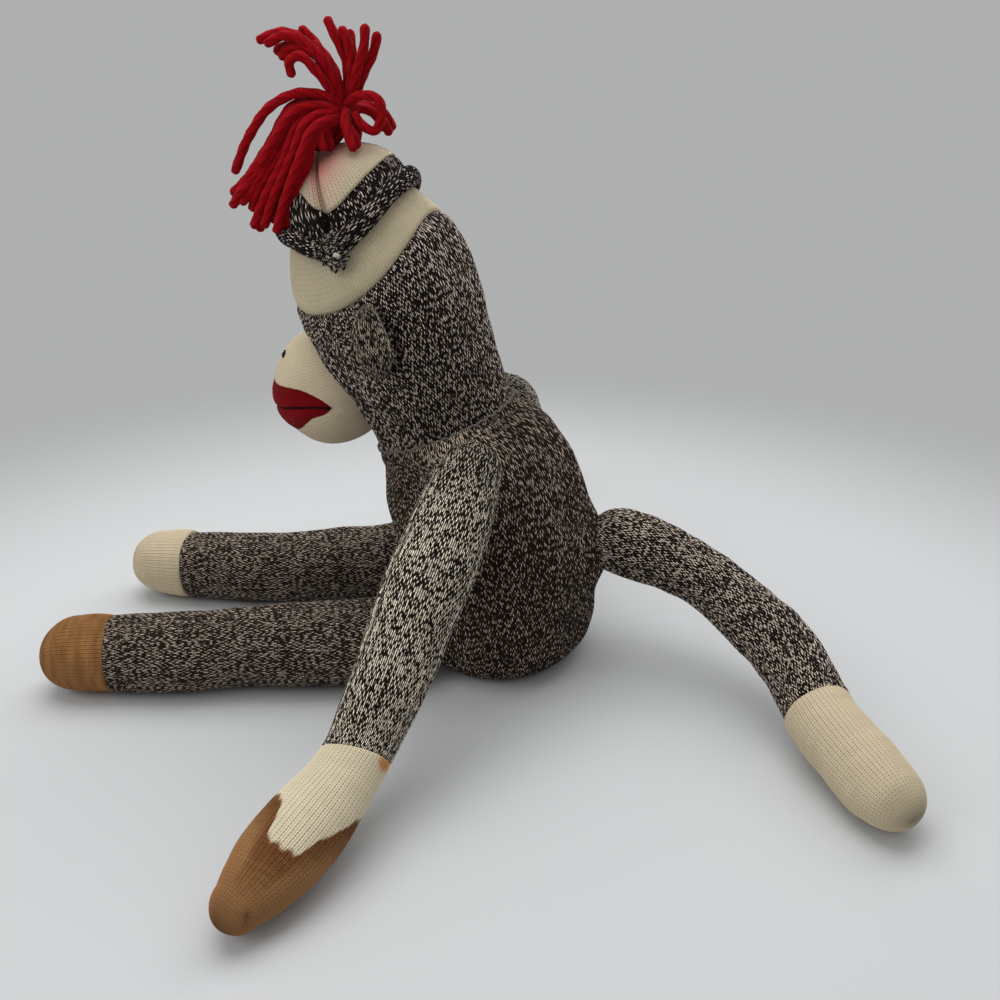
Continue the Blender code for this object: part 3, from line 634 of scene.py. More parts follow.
def settled(points: np.ndarray) -> np.ndarray:
    """Flatten points softly where they would sink into the floor."""
    soft = 0.0009
    moved = points.copy()
    moved[:, 2] = soft * np.logaddexp(0.0, (points[:, 2] - 0.0002) / soft) + 0.0002
    return moved


@dataclass
class Rings:
    """Rings down a piece: their middles, two half axes each, and a distance along the piece."""

    middles: np.ndarray
    first: np.ndarray
    second: np.ndarray
    distance: np.ndarray

    def spaced(self, pitch: float) -> tuple["Rings", np.ndarray]:
        """Space the rings evenly over the surface.

        Args:
            pitch: The height of one row of stitches.

        Returns:
            New rings one row apart, and the row that each one stands for.
        """
        edges = [self.middles + s * a for s in (1, -1) for a in (self.first, self.second)]
        steps = np.mean([np.linalg.norm(np.diff(e, axis=0), axis=1) for e in edges], axis=0)
        length = np.concatenate(((0.0,), np.cumsum(steps)))
        count = max(int(round(length[-1] / pitch)), 4)
        wanted = np.linspace(0.0, length[-1], count + 1)

        def read(values: np.ndarray) -> np.ndarray:
            columns = values.reshape(len(length), -1).T
            return np.stack([np.interp(wanted, length, c) for c in columns], axis=1)

        distance = read(self.distance)[:, 0]
        rings = Rings(read(self.middles), read(self.first), read(self.second), distance)
        return rings, wanted / pitch


@dataclass
class Roller:
    """Rolls a grid into one closed piece with a map of its stitches."""

    name: str
    columns: int
    pitch: float
    rib: float = 0.00016
    verts: int = COLUMN_VERTS
    lobes: int = 0
    lobe_depth: float = 0.0

    def mesh(
        self, rings: Rings, shape: Optional[Shape] = None, marks: Optional[dict[str, Mark]] = None
    ) -> bpy.types.Mesh:
        """Roll the grid over the rings and close it.

        Args:
            rings: The rings, closely spaced.
            shape: Moves points, given their places, ways out and distances.
            marks: Values kept on the mesh by name, from places, ways out and distances.

        Returns:
            The closed mesh.
        """
        rings, rows = rings.spaced(self.pitch)
        count = len(rows)
        around = self.columns * self.verts
        grid = bmesh.new()
        grid.loops.layers.uv.new(STITCH_MAP)
        size = {"x_segments": around, "y_segments": count - 1, "size": 0.5}
        bmesh.ops.create_grid(grid, calc_uvs=True, **size)
        mesh = bpy.data.meshes.new(self.name)
        grid.to_mesh(mesh)
        grid.free()
        flat = np.empty(len(mesh.vertices) * 3)
        mesh.vertices.foreach_get("co", flat)
        flat = flat.reshape(-1, 3)
        spot = np.rint((flat[:, 0] + 0.5) * around).astype(int)
        ring = np.rint((flat[:, 1] + 0.5) * (count - 1)).astype(int)
        turned = 2 * math.pi * spot / around
        lobed = 1.0 + self.lobe_depth * np.cos(turned * self.lobes)
        cos, sin = (np.cos(turned) * lobed)[:, None], (np.sin(turned) * lobed)[:, None]
        points = rings.middles[ring] + cos * rings.first[ring] + sin * rings.second[ring]
        out = units(cos * units(rings.first)[ring] + sin * units(rings.second)[ring])
        wide = np.linalg.norm(rings.first, axis=1)[ring]
        ribbed = self.verts == COLUMN_VERTS
        relief = np.array(COLUMN_RELIEF)[spot % COLUMN_VERTS] if ribbed else 0.0
        full = np.clip(wide / RELIEF_FADE - 0.3, 0.0, 1.0)
        points = points + out * (relief * self.rib * full)[:, None]
        for key, mark in (marks or {}).items():
            layer = mesh.attributes.new(key, "FLOAT", "POINT")
            values = mark(points, out, rings.distance[ring])
            layer.data.foreach_set("value", values.astype(np.float32))
        if shape:
            points = shape(points, out, rings.distance[ring])
        for end in (ring == 0, ring == count - 1):
            points[end] = points[end].mean(0)
        seam = spot == around
        points[seam] = points[spot == 0][np.argsort(ring[spot == 0])][ring[seam]]
        mesh.vertices.foreach_set("co", points.ravel())
        corners = np.empty(len(mesh.loops), dtype=np.int32)
        mesh.loops.foreach_get("vertex_index", corners)
        across = spot[corners] / self.verts
        stitches = np.stack((across, rows[ring[corners]]), axis=1)
        mesh.uv_layers[STITCH_MAP].data.foreach_set("uv", stitches.ravel())
        return closed(mesh)

    def piece(
        self, rings: Rings, shape: Optional[Shape] = None, marks: Optional[dict[str, Mark]] = None
    ) -> bpy.types.Object:
        """Roll the grid into an object of the scene."""
        return placed(self.name, self.mesh(rings, shape, marks))


def closed(mesh: bpy.types.Mesh) -> bpy.types.Mesh:
    """Merge a mesh's seams and poles and turn its faces outwards.

    Args:
        mesh: The mesh, which is changed.

    Returns:
        The same mesh.
    """
    bm = bmesh.new()
    bm.from_mesh(mesh)
    bmesh.ops.remove_doubles(bm, verts=bm.verts, dist=0.0000005)
    bmesh.ops.recalc_face_normals(bm, faces=bm.faces)
    bm.to_mesh(mesh)
    bm.free()
    mesh.shade_smooth()
    return mesh


def placed(name: str, mesh: bpy.types.Mesh) -> bpy.types.Object:
    """Put a mesh in the scene as an object at the origin."""
    obj = bpy.data.objects.new(name, mesh)
    bpy.context.scene.collection.objects.link(obj)
    return obj


def dress(
    piece: bpy.types.Object,
    material: bpy.types.Material,
    nodes: Sequence[str],
) -> None:
    """Give a piece its finish and say which solids it stands for.

    Args:
        piece: The finished object.
        material: Its finish.
        nodes: The solids that it replaces.
    """
    piece.data.materials.clear()
    piece.data.materials.append(material)
    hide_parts(*nodes)
    LOG.info("%s: %d faces for %s", piece.name, len(piece.data.polygons), ", ".join(nodes))


def transported(points: np.ndarray) -> tuple[np.ndarray, np.ndarray]:
    """Carry two square axes down a line without spinning them.

    Args:
        points: The line.

    Returns:
        The first and second axis at each point.
    """
    heading = units(np.gradient(points, axis=0))
    start = np.cross(heading[0], (0.0, 0.0, 1.0))
    if np.linalg.norm(start) < 0.1:
        start = np.cross(heading[0], (1.0, 0.0, 0.0))
    first = np.empty_like(points)
    first[0] = units(start)
    for number in range(1, len(points)):
        way = heading[number]
        first[number] = units(first[number - 1] - way * (first[number - 1] @ way))
    return first, np.cross(heading, first)


@dataclass
class Strand:
    """A twisted yarn or thread along a line."""

    points: np.ndarray
    radius: float
    lobes: int = 3
    twist: float = 90.0
    sides: int = 12
    lobe_depth: float = 0.14

    def mesh(self, name: str) -> bpy.types.Mesh:
        """Roll the strand, with rounded ends.

        Args:
            name: The mesh's name.

        Returns:
            The closed mesh.
        """
        steps = np.linalg.norm(np.diff(self.points, axis=0), axis=1)
        length = np.concatenate(((0.0,), np.cumsum(steps)))
        first, second = transported(self.points)
        near = np.minimum(length, length[-1] - length)
        share = np.clip(near / self.radius, 0.0, 1.0)
        size = self.radius * np.sqrt(1.0 - (1.0 - share) ** 2)
        turned = (length * self.twist)[:, None]
        spun = np.cos(turned) * first + np.sin(turned) * second
        other = np.cos(turned) * second - np.sin(turned) * first
        rings = Rings(self.points, spun * size[:, None], other * size[:, None], length)
        pitch = self.radius * 0.55
        roller = Roller(name, 1, pitch, 0.0, self.sides, self.lobes, self.lobe_depth)
        return roller.mesh(rings)


def bundled(name: str, strands: Sequence[Strand]) -> bpy.types.Object:
    """Join several strands in one object.

    Args:
        name: The object's name.
        strands: The strands.

    Returns:
        The object.
    """
    bm = bmesh.new()
    for strand in strands:
        bm.from_mesh(strand.mesh(name + "_strand"))
    mesh = bpy.data.meshes.new(name)
    bm.to_mesh(mesh)
    bm.free()
    mesh.shade_smooth()
    return placed(name, mesh)


def dense(points: Sequence[Point], step: float = 0.0004) -> np.ndarray:
    """Run a smooth line through a few points.

    Args:
        points: The points.
        step: How close the new ones lie.

    Returns:
        The new points.
    """
    rough = np.asarray(points, float)
    length = np.concatenate(((0.0,), np.cumsum(np.linalg.norm(np.diff(rough, axis=0), axis=1))))
    count = max(int(length[-1] / step), 8)
    wanted = np.linspace(0.0, length[-1], count)
    slopes = np.gradient(rough, length, axis=0)
    place = np.clip(np.searchsorted(length, wanted, side="right") - 1, 0, len(length) - 2)
    span = np.diff(length)[place][:, None]
    t = (wanted[:, None] - length[place][:, None]) / span
    line = (2 * t**3 - 3 * t**2 + 1) * rough[place] + (t**3 - 2 * t**2 + t) * span * slopes[place]
    line += (3 * t**2 - 2 * t**3) * rough[place + 1] + (t**3 - t**2) * span * slopes[place + 1]
    return line


def aim(azimuth: np.ndarray, rise: np.ndarray) -> np.ndarray:
    """Headings from azimuths and rises in degrees."""
    turned, lifted = np.radians(azimuth), np.radians(rise)
    flat = np.cos(lifted)
    return np.stack((flat * np.cos(turned), flat * np.sin(turned), np.sin(lifted)), -1)


@dataclass
class LimbLine:
    """The middle line of a limb, bent softly at its joint.

    Each leg of it has a length and the headings at its two ends, as azimuth and rise.
    """

    start: Point
    legs: Sequence[tuple[float, tuple[float, float], tuple[float, float]]]
    soften: float = 0.007
    step: float = 0.001
    spare: float = 0.045
    points: np.ndarray = field(init=False)
    first: np.ndarray = field(init=False)
    second: np.ndarray = field(init=False)

    def __post_init__(self) -> None:
        """Lay out the line and its axes."""
        headings = []
        for length, before, after in self.legs:
            share = (np.arange(round(length / self.step)) + 0.5) / round(length / self.step)
            turn = [a + (b - a) * share for a, b in zip(before, after)]
            headings.append(aim(*turn))
        body = np.concatenate(headings)
        extra = round(self.spare / self.step)
        body = np.concatenate((np.repeat(body[:1], extra, 0), body, np.repeat(body[-1:], extra, 0)))
        line = np.concatenate((np.zeros((1, 3)), np.cumsum(body * self.step, axis=0)))
        line += np.asarray(self.start) - line[extra]
        reach = int(3 * self.soften / self.step)
        weights = np.exp(-0.5 * (np.arange(-reach, reach + 1) * self.step / self.soften) ** 2)
        weights /= weights.sum()
        inner = np.stack([np.convolve(c, weights, "valid") for c in line.T], axis=1)
        line[reach : reach + len(inner)] = inner
        self.points = line
        self.first, self.second = transported(line)

    def rings(self, distance: np.ndarray, radius: np.ndarray) -> Rings:
        """Rings at distances along the line.

        Args:
            distance: How far along each one lies, in metres.
            radius: Its radius.

        Returns:
            The rings.
        """
        where = (distance + self.spare) / self.step
        spots = np.arange(len(self.points))

        def read(values: np.ndarray) -> np.ndarray:
            return np.stack([np.interp(where, spots, column) for column in values.T], axis=1)

        wide = radius[:, None]
        first, second = units(read(self.first)), units(read(self.second))
        return Rings(read(self.points), first * wide, second * wide, distance)

    def fold(self, distance: float, reach: float) -> tuple[Point, Point]:
        """Where a fold of the limb starts and ends.

        Args:
            distance: How far along the limb the joint lies.
            reach: How far to each side of it the knit bends.

        Returns:
            The two ends of the bend.
        """
        spots = np.array((distance, distance - reach, distance + reach))
        joint, before, after = self.rings(spots, np.ones(3)).middles
        way = units(after - before) * reach
        return tuple(joint - way), tuple(joint + way)


@dataclass
class LimbPart:
    """One knitted piece of a limb, from one distance to another, closed at both ends."""

    name: str
    line: LimbLine
    profile: Sequence[tuple[float, float]]
    begin: float
    end: float
    begin_with: Ending
    end_with: Ending
    columns: int
    pitch: float
    tuck: float = 0.0
    lean: Point = (0.0, 0.0, 0.0)
    lean_at: float = 0.0
    seed: int = 1
    lump: float = 0.0007
    rest: bool = False

    def rings(self) -> Rings:
        """Rings of the whole piece.

        Returns:
            The rings from one closed end to the other.
        """
        spots, sizes = zip(*self.profile)
        body = np.linspace(self.begin, self.end, 500)
        wide = eased(spots, sizes, body)
        near = np.minimum(body - self.begin, self.end - body)
        wide = wide - self.tuck * np.exp(-near / 0.002)
        distance, radius = [body], [wide]
        quarter = np.linspace(0.0, math.pi / 2, 60)
        if self.begin_with is Ending.DOME:
            distance.insert(0, self.begin - wide[0] * np.cos(quarter[:-1]))
            radius.insert(0, wide[0] * np.sin(quarter[:-1]))
        else:
            distance.insert(0, np.full(59, self.begin))
            radius.insert(0, wide[0] * np.linspace(0.0, 1.0, 60)[:-1])
        if self.end_with is Ending.DOME:
            distance.append(self.end + wide[-1] * np.sin(quarter[1:]))
            radius.append(wide[-1] * np.cos(quarter[1:]))
        else:
            distance.append(np.full(59, self.end))
            radius.append(wide[-1] * np.linspace(1.0, 0.0, 60)[1:])
        return self.line.rings(np.concatenate(distance), np.concatenate(radius))

    def make(
        self, marks: Optional[dict[str, Mark]] = None, more: Optional[Shape] = None
    ) -> bpy.types.Object:
        """Knit the piece.

        Args:
            marks: Coloured areas that are kept on the mesh.
            more: A further change of its points.

        Returns:
            The object.
        """
        rings = self.rings()
        lean = np.asarray(self.lean)
        centre = self.line.rings(np.array((self.lean_at,)), np.array((1.0,)))
        way = np.cross(centre.first, centre.second)[0]
        seat = centre.middles[0]

        def shape(points: np.ndarray, out: np.ndarray, distance: np.ndarray) -> np.ndarray:
            swell = lumps(points, 0.045, self.lump, self.seed)
            swell += lumps(points, 0.017, self.lump * 0.3, self.seed + 50)
            moved = points + out * swell[:, None]
            if self.lean != (0.0, 0.0, 0.0):
                along = (points - seat) @ way
                shift = (points - seat) @ lean * np.exp(-((along / 0.025) ** 2))
                moved = moved + shift[:, None] * way
            if more:
                moved = more(moved, out, distance)
            return settled(moved) if self.rest else moved

        return Roller(self.name, self.columns, self.pitch).piece(rings, shape, marks)


# One marl yarn, copied per piece: the light colours and shares are partly painted light and shade,
# dimmer on the shaded body, brighter on the lit arms.
MARL_BODY = MarlKnit("marl_torso_knit", (0.020, 0.011, 0.007), (0.82, 0.67, 0.53), 0.35, 0.08, 0.05)
MARL_HEAD = MarlKnit("marl_head_knit", (0.015, 0.010, 0.008), (1.0, 0.83, 0.69), 0.40, 0.08, 0.04)
MARL_EAR = MarlKnit("marl_ear_knit", (0.013, 0.009, 0.007), (0.84, 0.69, 0.53), 0.44, 0.05, 0.05)
MARL_LEG = MarlKnit("marl_leg_knit", (0.022, 0.014, 0.010), (0.68, 0.56, 0.45), 0.43, 0.04, 0.14)
MARL_TAIL = MarlKnit("marl_tail_knit", (0.014, 0.009, 0.007), (1.0, 0.84, 0.68), 0.42, 0.06, 0.06)
MARL_ARM = MarlKnit(
    "marl_arm_knit", (0.012, 0.008, 0.006), (1.0, 0.88, 0.70), 0.52, 0.04, 0.04, split=1.2
)
MARL_BRIM = MarlKnit(
    "marl_brim_knit", (0.010, 0.007, 0.006), (0.80, 0.66, 0.56), 0.34, 0.08, 0.05, split=1.0
)
KNOT_YARN = MarlKnit(
    "knot_knit", (0.012, 0.008, 0.006), (0.62, 0.55, 0.47), 0.45, 0.1, 0.0, split=1.0
)
TAN_DYE = Dye("tan", (0.120, 0.042, 0.012), (0.31, 0.155, 0.062), 0.030, 0.0014, 0.0010)
WRIST_DYE = Dye("wrist", (0.55, 0.27, 0.10), (0.50, 0.20, 0.06), 0.01, 0.0020, 0.0012)
LIP_DYE = Dye("lips", (0.135, 0.0012, 0.0030), (0.21, 0.0015, 0.005), 0.010, 0.0003, 0.0)
PINK_DYE = Dye("pink", (0.61, 0.40, 0.31), (0.57, 0.22, 0.18), 0.014, 0.009, 0.0)
CREAM = RibKnit("cream_knit", (0.62, 0.52, 0.355), 0.62)
CREAM_CROWN = RibKnit("cream_crown_knit", (0.66, 0.565, 0.385), 0.55, split=1.5)
CREAM_CAP = RibKnit("cream_cap_knit", (0.62, 0.53, 0.37), 0.75, dyes=(PINK_DYE,), split=1.25)
CREAM_HAND = RibKnit("cream_hand_knit", (0.72, 0.62, 0.44), 0.78, dyes=(TAN_DYE, WRIST_DYE))
CREAM_MUZZLE = RibKnit(
    "cream_muzzle_knit", (0.62, 0.52, 0.36), 0.30, 0.08, 0.00022, (LIP_DYE,), 1.5
)
TAN_FOOT = RibKnit("tan_foot_knit", (0.36, 0.168, 0.060), 0.7, 0.5)
RED_YARN = SpunYarn("red_pompom_yarn", (0.36, 0.0022, 0.007), 4, 0.75, 0.0006)
BLACK_THREAD = SpunYarn("black_thread", (0.012, 0.010, 0.010), 2, 0.3, 0.0001)
MOUTH_THREAD = SpunYarn("dark_mouth_thread", (0.020, 0.002, 0.003), 2, 0.3, 0.0001)
GREY_THREAD = SpunYarn("grey_seam_thread", (0.17, 0.155, 0.14), 2, 0.4, 0.0001)
PALE_STUB = SpunYarn("pale_knot_end", (0.62, 0.56, 0.48), 2, 0.4, 0.0001)
STUDIO_FLOOR = Sweep("studio_floor_finish", (0.60, 0.612, 0.622), (0.425, 0.43, 0.43))


@dataclass
class Torso:
    """The marled body and the thread gathered round its neck."""

    height: float = 0.1355
    lean: float = 0.030
    half_depth: float = 0.053
    half_width: float = 0.055
    neck_radius: float = 0.039
    neck_tilt: float = 22.0
    rim_drop: float = 0.00768
    thread_radius: float = 0.0006
    shares: tuple = (
        (0.000, 0.00, 0.60, 0.66, 0.00),
        (0.030, -0.03, 0.79, 0.85, 0.00),
        (0.110, -0.05, 0.90, 0.94, 0.00),
        (0.250, -0.03, 0.965, 0.985, 0.00),
        (0.410, 0.03, 1.00, 1.00, 0.00),
        (0.555, 0.13, 1.00, 0.985, 0.05),
        (0.705, 0.29, 0.985, 0.93, 0.20),
        (0.815, 0.45, 0.92, 0.855, 0.46),
        (0.895, 0.645, 0.83, 0.775, 0.78),
    )
    roots: tuple = (
        ((0.057, -0.006, 0.126), 0.0175, 0.0075, 0.012),
        ((-0.057, -0.006, 0.126), 0.0175, 0.0075, 0.012),
        ((0.0466, -0.0528, 0.024), 0.0235, 0.004, 0.010),
        ((-0.0466, -0.0528, 0.024), 0.0235, 0.004, 0.010),
        ((0.0, 0.0645, 0.068), 0.0175, 0.004, 0.009),
    )

    def neck(self) -> Matrix:
        """The neck's place and tilt."""
        return Matrix.Translation(NECK_SPOT) @ Matrix.Rotation(math.radians(self.neck_tilt), 4, "X")

    def rings(self) -> Rings:
        """Rings from the middle of the seat to the middle of the neck.

        Returns:
            The rings, closely spaced.
        """
        rows = []
        deep, wide = self.shares[0][2] * self.half_depth, self.shares[0][3] * self.half_width
        for share in (0.0, 0.5, 0.9):
            rows.append(((0.0, 0.0, 0.0), share * deep, share * wide, 0.0))
        for height, lean, deep, wide, tilt in self.shares:
            place = (0.0, -self.lean * lean, self.height * height)
            rows.append((place, self.half_depth * deep, self.half_width * wide, tilt))
        for drop, share in ((1.0, 1.0), (0.55, 0.965), (0.42, 0.90), (0.42, 0.5), (0.42, 0.0)):
            place = self.neck() @ Vector((0.0, 0.0, -self.rim_drop * drop))
            size = self.neck_radius * share
            rows.append((tuple(place), size, size, 1.0))
        middles = np.array([row[0] for row in rows])
        sizes = np.array([row[1:] for row in rows])
        edge = middles + sizes[:, 1:2] * np.array((1.0, 0.0, 0.0))
        length = np.concatenate(((0.0,), np.cumsum(np.linalg.norm(np.diff(edge, axis=0), axis=1))))
        wanted = np.linspace(0.0, length[-1], 700)
        values = eased(length, np.concatenate((middles, sizes), axis=1), wanted)
        tilt = np.radians(self.neck_tilt * values[:, 5])
        first = np.stack((values[:, 4], 0 * tilt, 0 * tilt), 1)
        second = np.stack((0 * tilt, np.cos(tilt) * values[:, 3], np.sin(tilt) * values[:, 3]), 1)
        flat = first[:, 0] < 1e-6
        first[flat], second[flat] = (1e-7, 0.0, 0.0), (0.0, 1e-7, 0.0)
        return Rings(values[:, :3], first, second, wanted)

    def shape(self, points: np.ndarray, out: np.ndarray, _distance: np.ndarray) -> np.ndarray:
        """Swell the body towards its limbs and over its shoulders.

        Args:
            points: The plain body.
            out: The ways out of it.

        Returns:
            The shaped body.
        """
        push = lumps(points, 0.06, 0.0011, 5) + lumps(points, 0.02, 0.00035, 6)
        push *= np.clip(points[:, 2] / 0.012, 0.0, 1.0)
        for centre, radius, height, reach in self.roots:
            away = np.linalg.norm(points - np.asarray(centre), axis=1) - radius
            push += height * np.exp(-((np.maximum(away, 0.0) / reach) ** 2))
        moved = points + out * push[:, None]
        moved[:, 2] = np.maximum(moved[:, 2], np.minimum(points[:, 2], 0.0006))
        return moved

    def pale(self, points: np.ndarray, _out: np.ndarray, _distance: np.ndarray) -> np.ndarray:
        """How much painted light brightens the knit along the shoulders, towards the arms.

        Args:
            points: The plain body.

        Returns:
            A share from 0 to 1.
        """
        total = np.zeros(len(points))
        for centre, _radius, _height, _reach in self.roots[:2]:
            spot = np.asarray(centre)
            way = np.asarray(NECK_SPOT) + np.array((0.4 * spot[0], 0.0, 0.0)) - spot
            along = np.clip((points - spot) @ way / (way @ way), 0.0, 1.0)
            away = np.linalg.norm(points - spot - along[:, None] * way, axis=1)
            total += np.exp(-((away / 0.017) ** 2))
        return np.minimum(total, 1.0)

    def build(self) -> None:
        """Knit the body and lay the neck's thread."""
        roller = Roller("torso_knit", 148, SLEEVE_PITCH)
        # The pale mark paints light over the shoulders.
        piece = roller.piece(self.rings(), self.shape, {"pale": self.pale})
        dress(piece, MARL_BODY.material(), ("torso_skin", "torso_stuffing"))
        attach(piece, "torso")
        turns = np.linspace(0.0, 2 * math.pi, 600)
        wave = 0.0005 * np.sin(turns * 46)
        size = self.neck_radius * 0.978
        ring = np.stack((size * np.cos(turns), size * np.sin(turns), -0.0034 + wave), 1)
        line = ring @ np.array(self.neck().to_3x3()).T + np.array(NECK_SPOT)
        thread = bundled("neck_seam_thread", [Strand(line, self.thread_radius, 2, 900.0, 8)])
        dress(thread, GREY_THREAD.material(), ("neck_thread",))
        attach(thread, "neck")


@dataclass
class HeadForm:
    """The head's own axes and barrel, which its pieces share."""

    tilt: float = 21.5
    lean: float = 5.0
    turn: float = -8.0
    height: float = 0.129
    radius: float = 0.0445
    ball: float = 0.037
    sag: float = 0.0175
    walls: tuple = (
        (0.12, 0.865),
        (0.25, 0.915),
        (0.38, 0.975),
        (0.54, 1.00),
        (0.63, 0.975),
        (0.696, 0.925),
        (0.702, 0.920),
        (0.745, 0.872),
        (0.79, 0.815),
        (0.87, 0.690),
        (0.93, 0.560),
        (0.975, 0.380),
        (1.00, 0.140),
    )
    seam_sag: tuple = (
        (0.0, 0.0, 0.0),
        (0.46, 0.0, 0.0),
        (0.70, 0.74, 0.17),
        (0.87, 0.0, 0.0),
        (1.3, 0.0, 0.0),
    )

    def matrix(self) -> Matrix:
        """The head's place and turn in the doll's frame."""
        lean = Matrix.Rotation(math.radians(self.lean), 4, "Y")
        tilt = Matrix.Rotation(math.radians(self.tilt), 4, "X")
        turn = Matrix.Rotation(math.radians(self.turn), 4, "Z")
        return Matrix.Translation(NECK_SPOT) @ lean @ tilt @ turn

    def out(self, points: np.ndarray) -> np.ndarray:
        """Move points from the head's axes to the doll's frame."""
        matrix = np.array(self.matrix())
        return points @ matrix[:3, :3].T + matrix[:3, 3]

    def radius_at(self, levels: np.ndarray, slide: bool = False) -> np.ndarray:
        """The barrel's radius at heights on its axis.

        Args:
            levels: The heights.
            slide: Whether it is the slope that the seams slide down, which has no top.

        Returns:
            One radius per height.
        """
        rows = self.walls[:10] + ((1.30, 0.02),) if slide else self.walls
        spots, sizes = zip(*(((0.0, self.ball / self.radius),) + rows))
        return np.interp(np.asarray(levels) / self.height, spots, sizes) * self.radius

    def sagged(self, points: np.ndarray) -> np.ndarray:
        """Let seams sag at the sides of the head, by the table's head height, sag and slope.

        Args:
            points: Places on the head's axes.

        Returns:
            The places after the sag.
        """
        heights, sags, slopes = (np.array(column) for column in zip(*self.seam_sag))
        high = points[:, 2] / self.height
        sag, slope = np.interp(high, heights, sags), np.interp(high, heights, slopes)
        reach = np.maximum(np.hypot(points[:, 0], points[:, 1]), 1e-6)
        side = 1.0 - (points[:, 1] / reach) ** 2
        level = points[:, 2] - self.sag * sag * side + slope * points[:, 1]
        wider = self.radius_at(level, True) - self.radius_at(points[:, 2], True)
        scale = np.where(sag == 0.0, 1.0, (reach + wider) / reach)
        level = np.where(sag == 0.0, points[:, 2], level)
        return np.stack((points[:, 0] * scale, points[:, 1] * scale, level), 1)

    def spun(self, levels: np.ndarray, radii: np.ndarray) -> Rings:
        """Rings round the head's axis, in its own axes.

        Args:
            levels: Heights on the axis.
            radii: One radius per height.

        Returns:
            The rings.
        """
        zero = np.zeros_like(levels)
        wide = np.maximum(radii, 1e-7)
        middles = np.stack((zero, zero, levels), 1)
        first, second = np.stack((wide, zero, zero), 1), np.stack((zero, wide, zero), 1)
        return Rings(middles, first, second, levels)


@dataclass
class Head:
    """The marled barrel of the head and the pale crown sewn on it."""

    form: HeadForm = field(default_factory=HeadForm)
    seam: float = 0.0902
    fold: float = 0.0011
    ear_turn: float = 11.0
    ear_rise: float = 0.0605
    ear_half: tuple[float, float] = (0.0080, 0.0170)

    def walls(self, low: float, high: float) -> tuple[np.ndarray, np.ndarray]:
        """The barrel's smooth wall between two heights.

        Args:
            low: The lower height.
            high: The upper one.

        Returns:
            Heights and radii.
        """
        levels = np.linspace(low, high, 400)
        spots, sizes = zip(*(((0.0, self.form.ball / self.form.radius),) + self.form.walls))
        radii = eased(spots, sizes, levels / self.form.height) * self.form.radius
        return levels, radii

    def make(self, name: str, levels: np.ndarray, radii: np.ndarray) -> bpy.types.Object:
        """Knit one piece of the head.

        Args:
            name: The piece's name.
            levels: Heights on the head's axis.
            radii: One radius per height.

        Returns:
            The object.
        """

        def shape(points: np.ndarray, out: np.ndarray, _distance: np.ndarray) -> np.ndarray:
            crease = np.exp(-(((points[:, 2] - self.seam) / 0.0022) ** 2)) * self.fold
            swell = lumps(points, 0.05, 0.0007, 11) + lumps(points, 0.02, 0.0003, 12)
            swell *= np.clip(np.hypot(points[:, 0], points[:, 1]) / 0.02 - 0.3, 0.0, 1.0)
            moved = points + out * (swell - crease)[:, None]
            return self.form.out(self.form.sagged(moved))

        rings = self.form.spun(levels, radii)
        return Roller(name, 116, SLEEVE_PITCH).piece(rings, shape, {"shade": self.shade})

    def shade(self, points: np.ndarray, _out: np.ndarray, _distance: np.ndarray) -> np.ndarray:
        """How much painted shade darkens the knit in a ring round each ear's seam.

        Args:
            points: Places on the head's axes.

        Returns:
            A share from 0 to 1.
        """
        turn = np.degrees(np.arctan2(points[:, 1], np.abs(points[:, 0])))
        across = (turn - self.ear_turn) * math.radians(1.0) * self.form.radius / self.ear_half[0]
        along = (points[:, 2] - self.ear_rise) / self.ear_half[1]
        away = np.hypot(across, along)
        return np.exp(-(((away - 1.02) / 0.20) ** 2)) * 0.95

    def build(self) -> None:
        """Knit the barrel and the crown."""
        bowl = np.linspace(math.pi, math.pi / 2, 120)
        low = (self.form.ball * np.cos(bowl), self.form.ball * np.sin(bowl))
        levels, radii = self.walls(0.0, self.seam)
        lid = np.linspace(1.0, 0.0, 60)
        barrel = (
            np.concatenate((low[0][:-1], levels, np.full(59, self.seam))),
            np.concatenate((low[1][:-1], radii, radii[-1] * lid[1:])),
        )
        piece = self.make("head_knit", *barrel)
        dress(piece, MARL_HEAD.material(), ("head_skin", "head_stuffing"))
        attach(piece, "head")
        levels, radii = self.walls(self.seam, self.form.height)
        crown = (
            np.concatenate((np.full(59, self.seam), levels, np.full(59, self.form.height))),
            np.concatenate((radii[0] * lid[::-1][:-1], radii, radii[-1] * lid[1:])),
        )
        piece = self.make("crown_knit", *crown)
        dress(piece, CREAM_CROWN.material(), ("head_crown_knit",))
        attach(piece, "head")


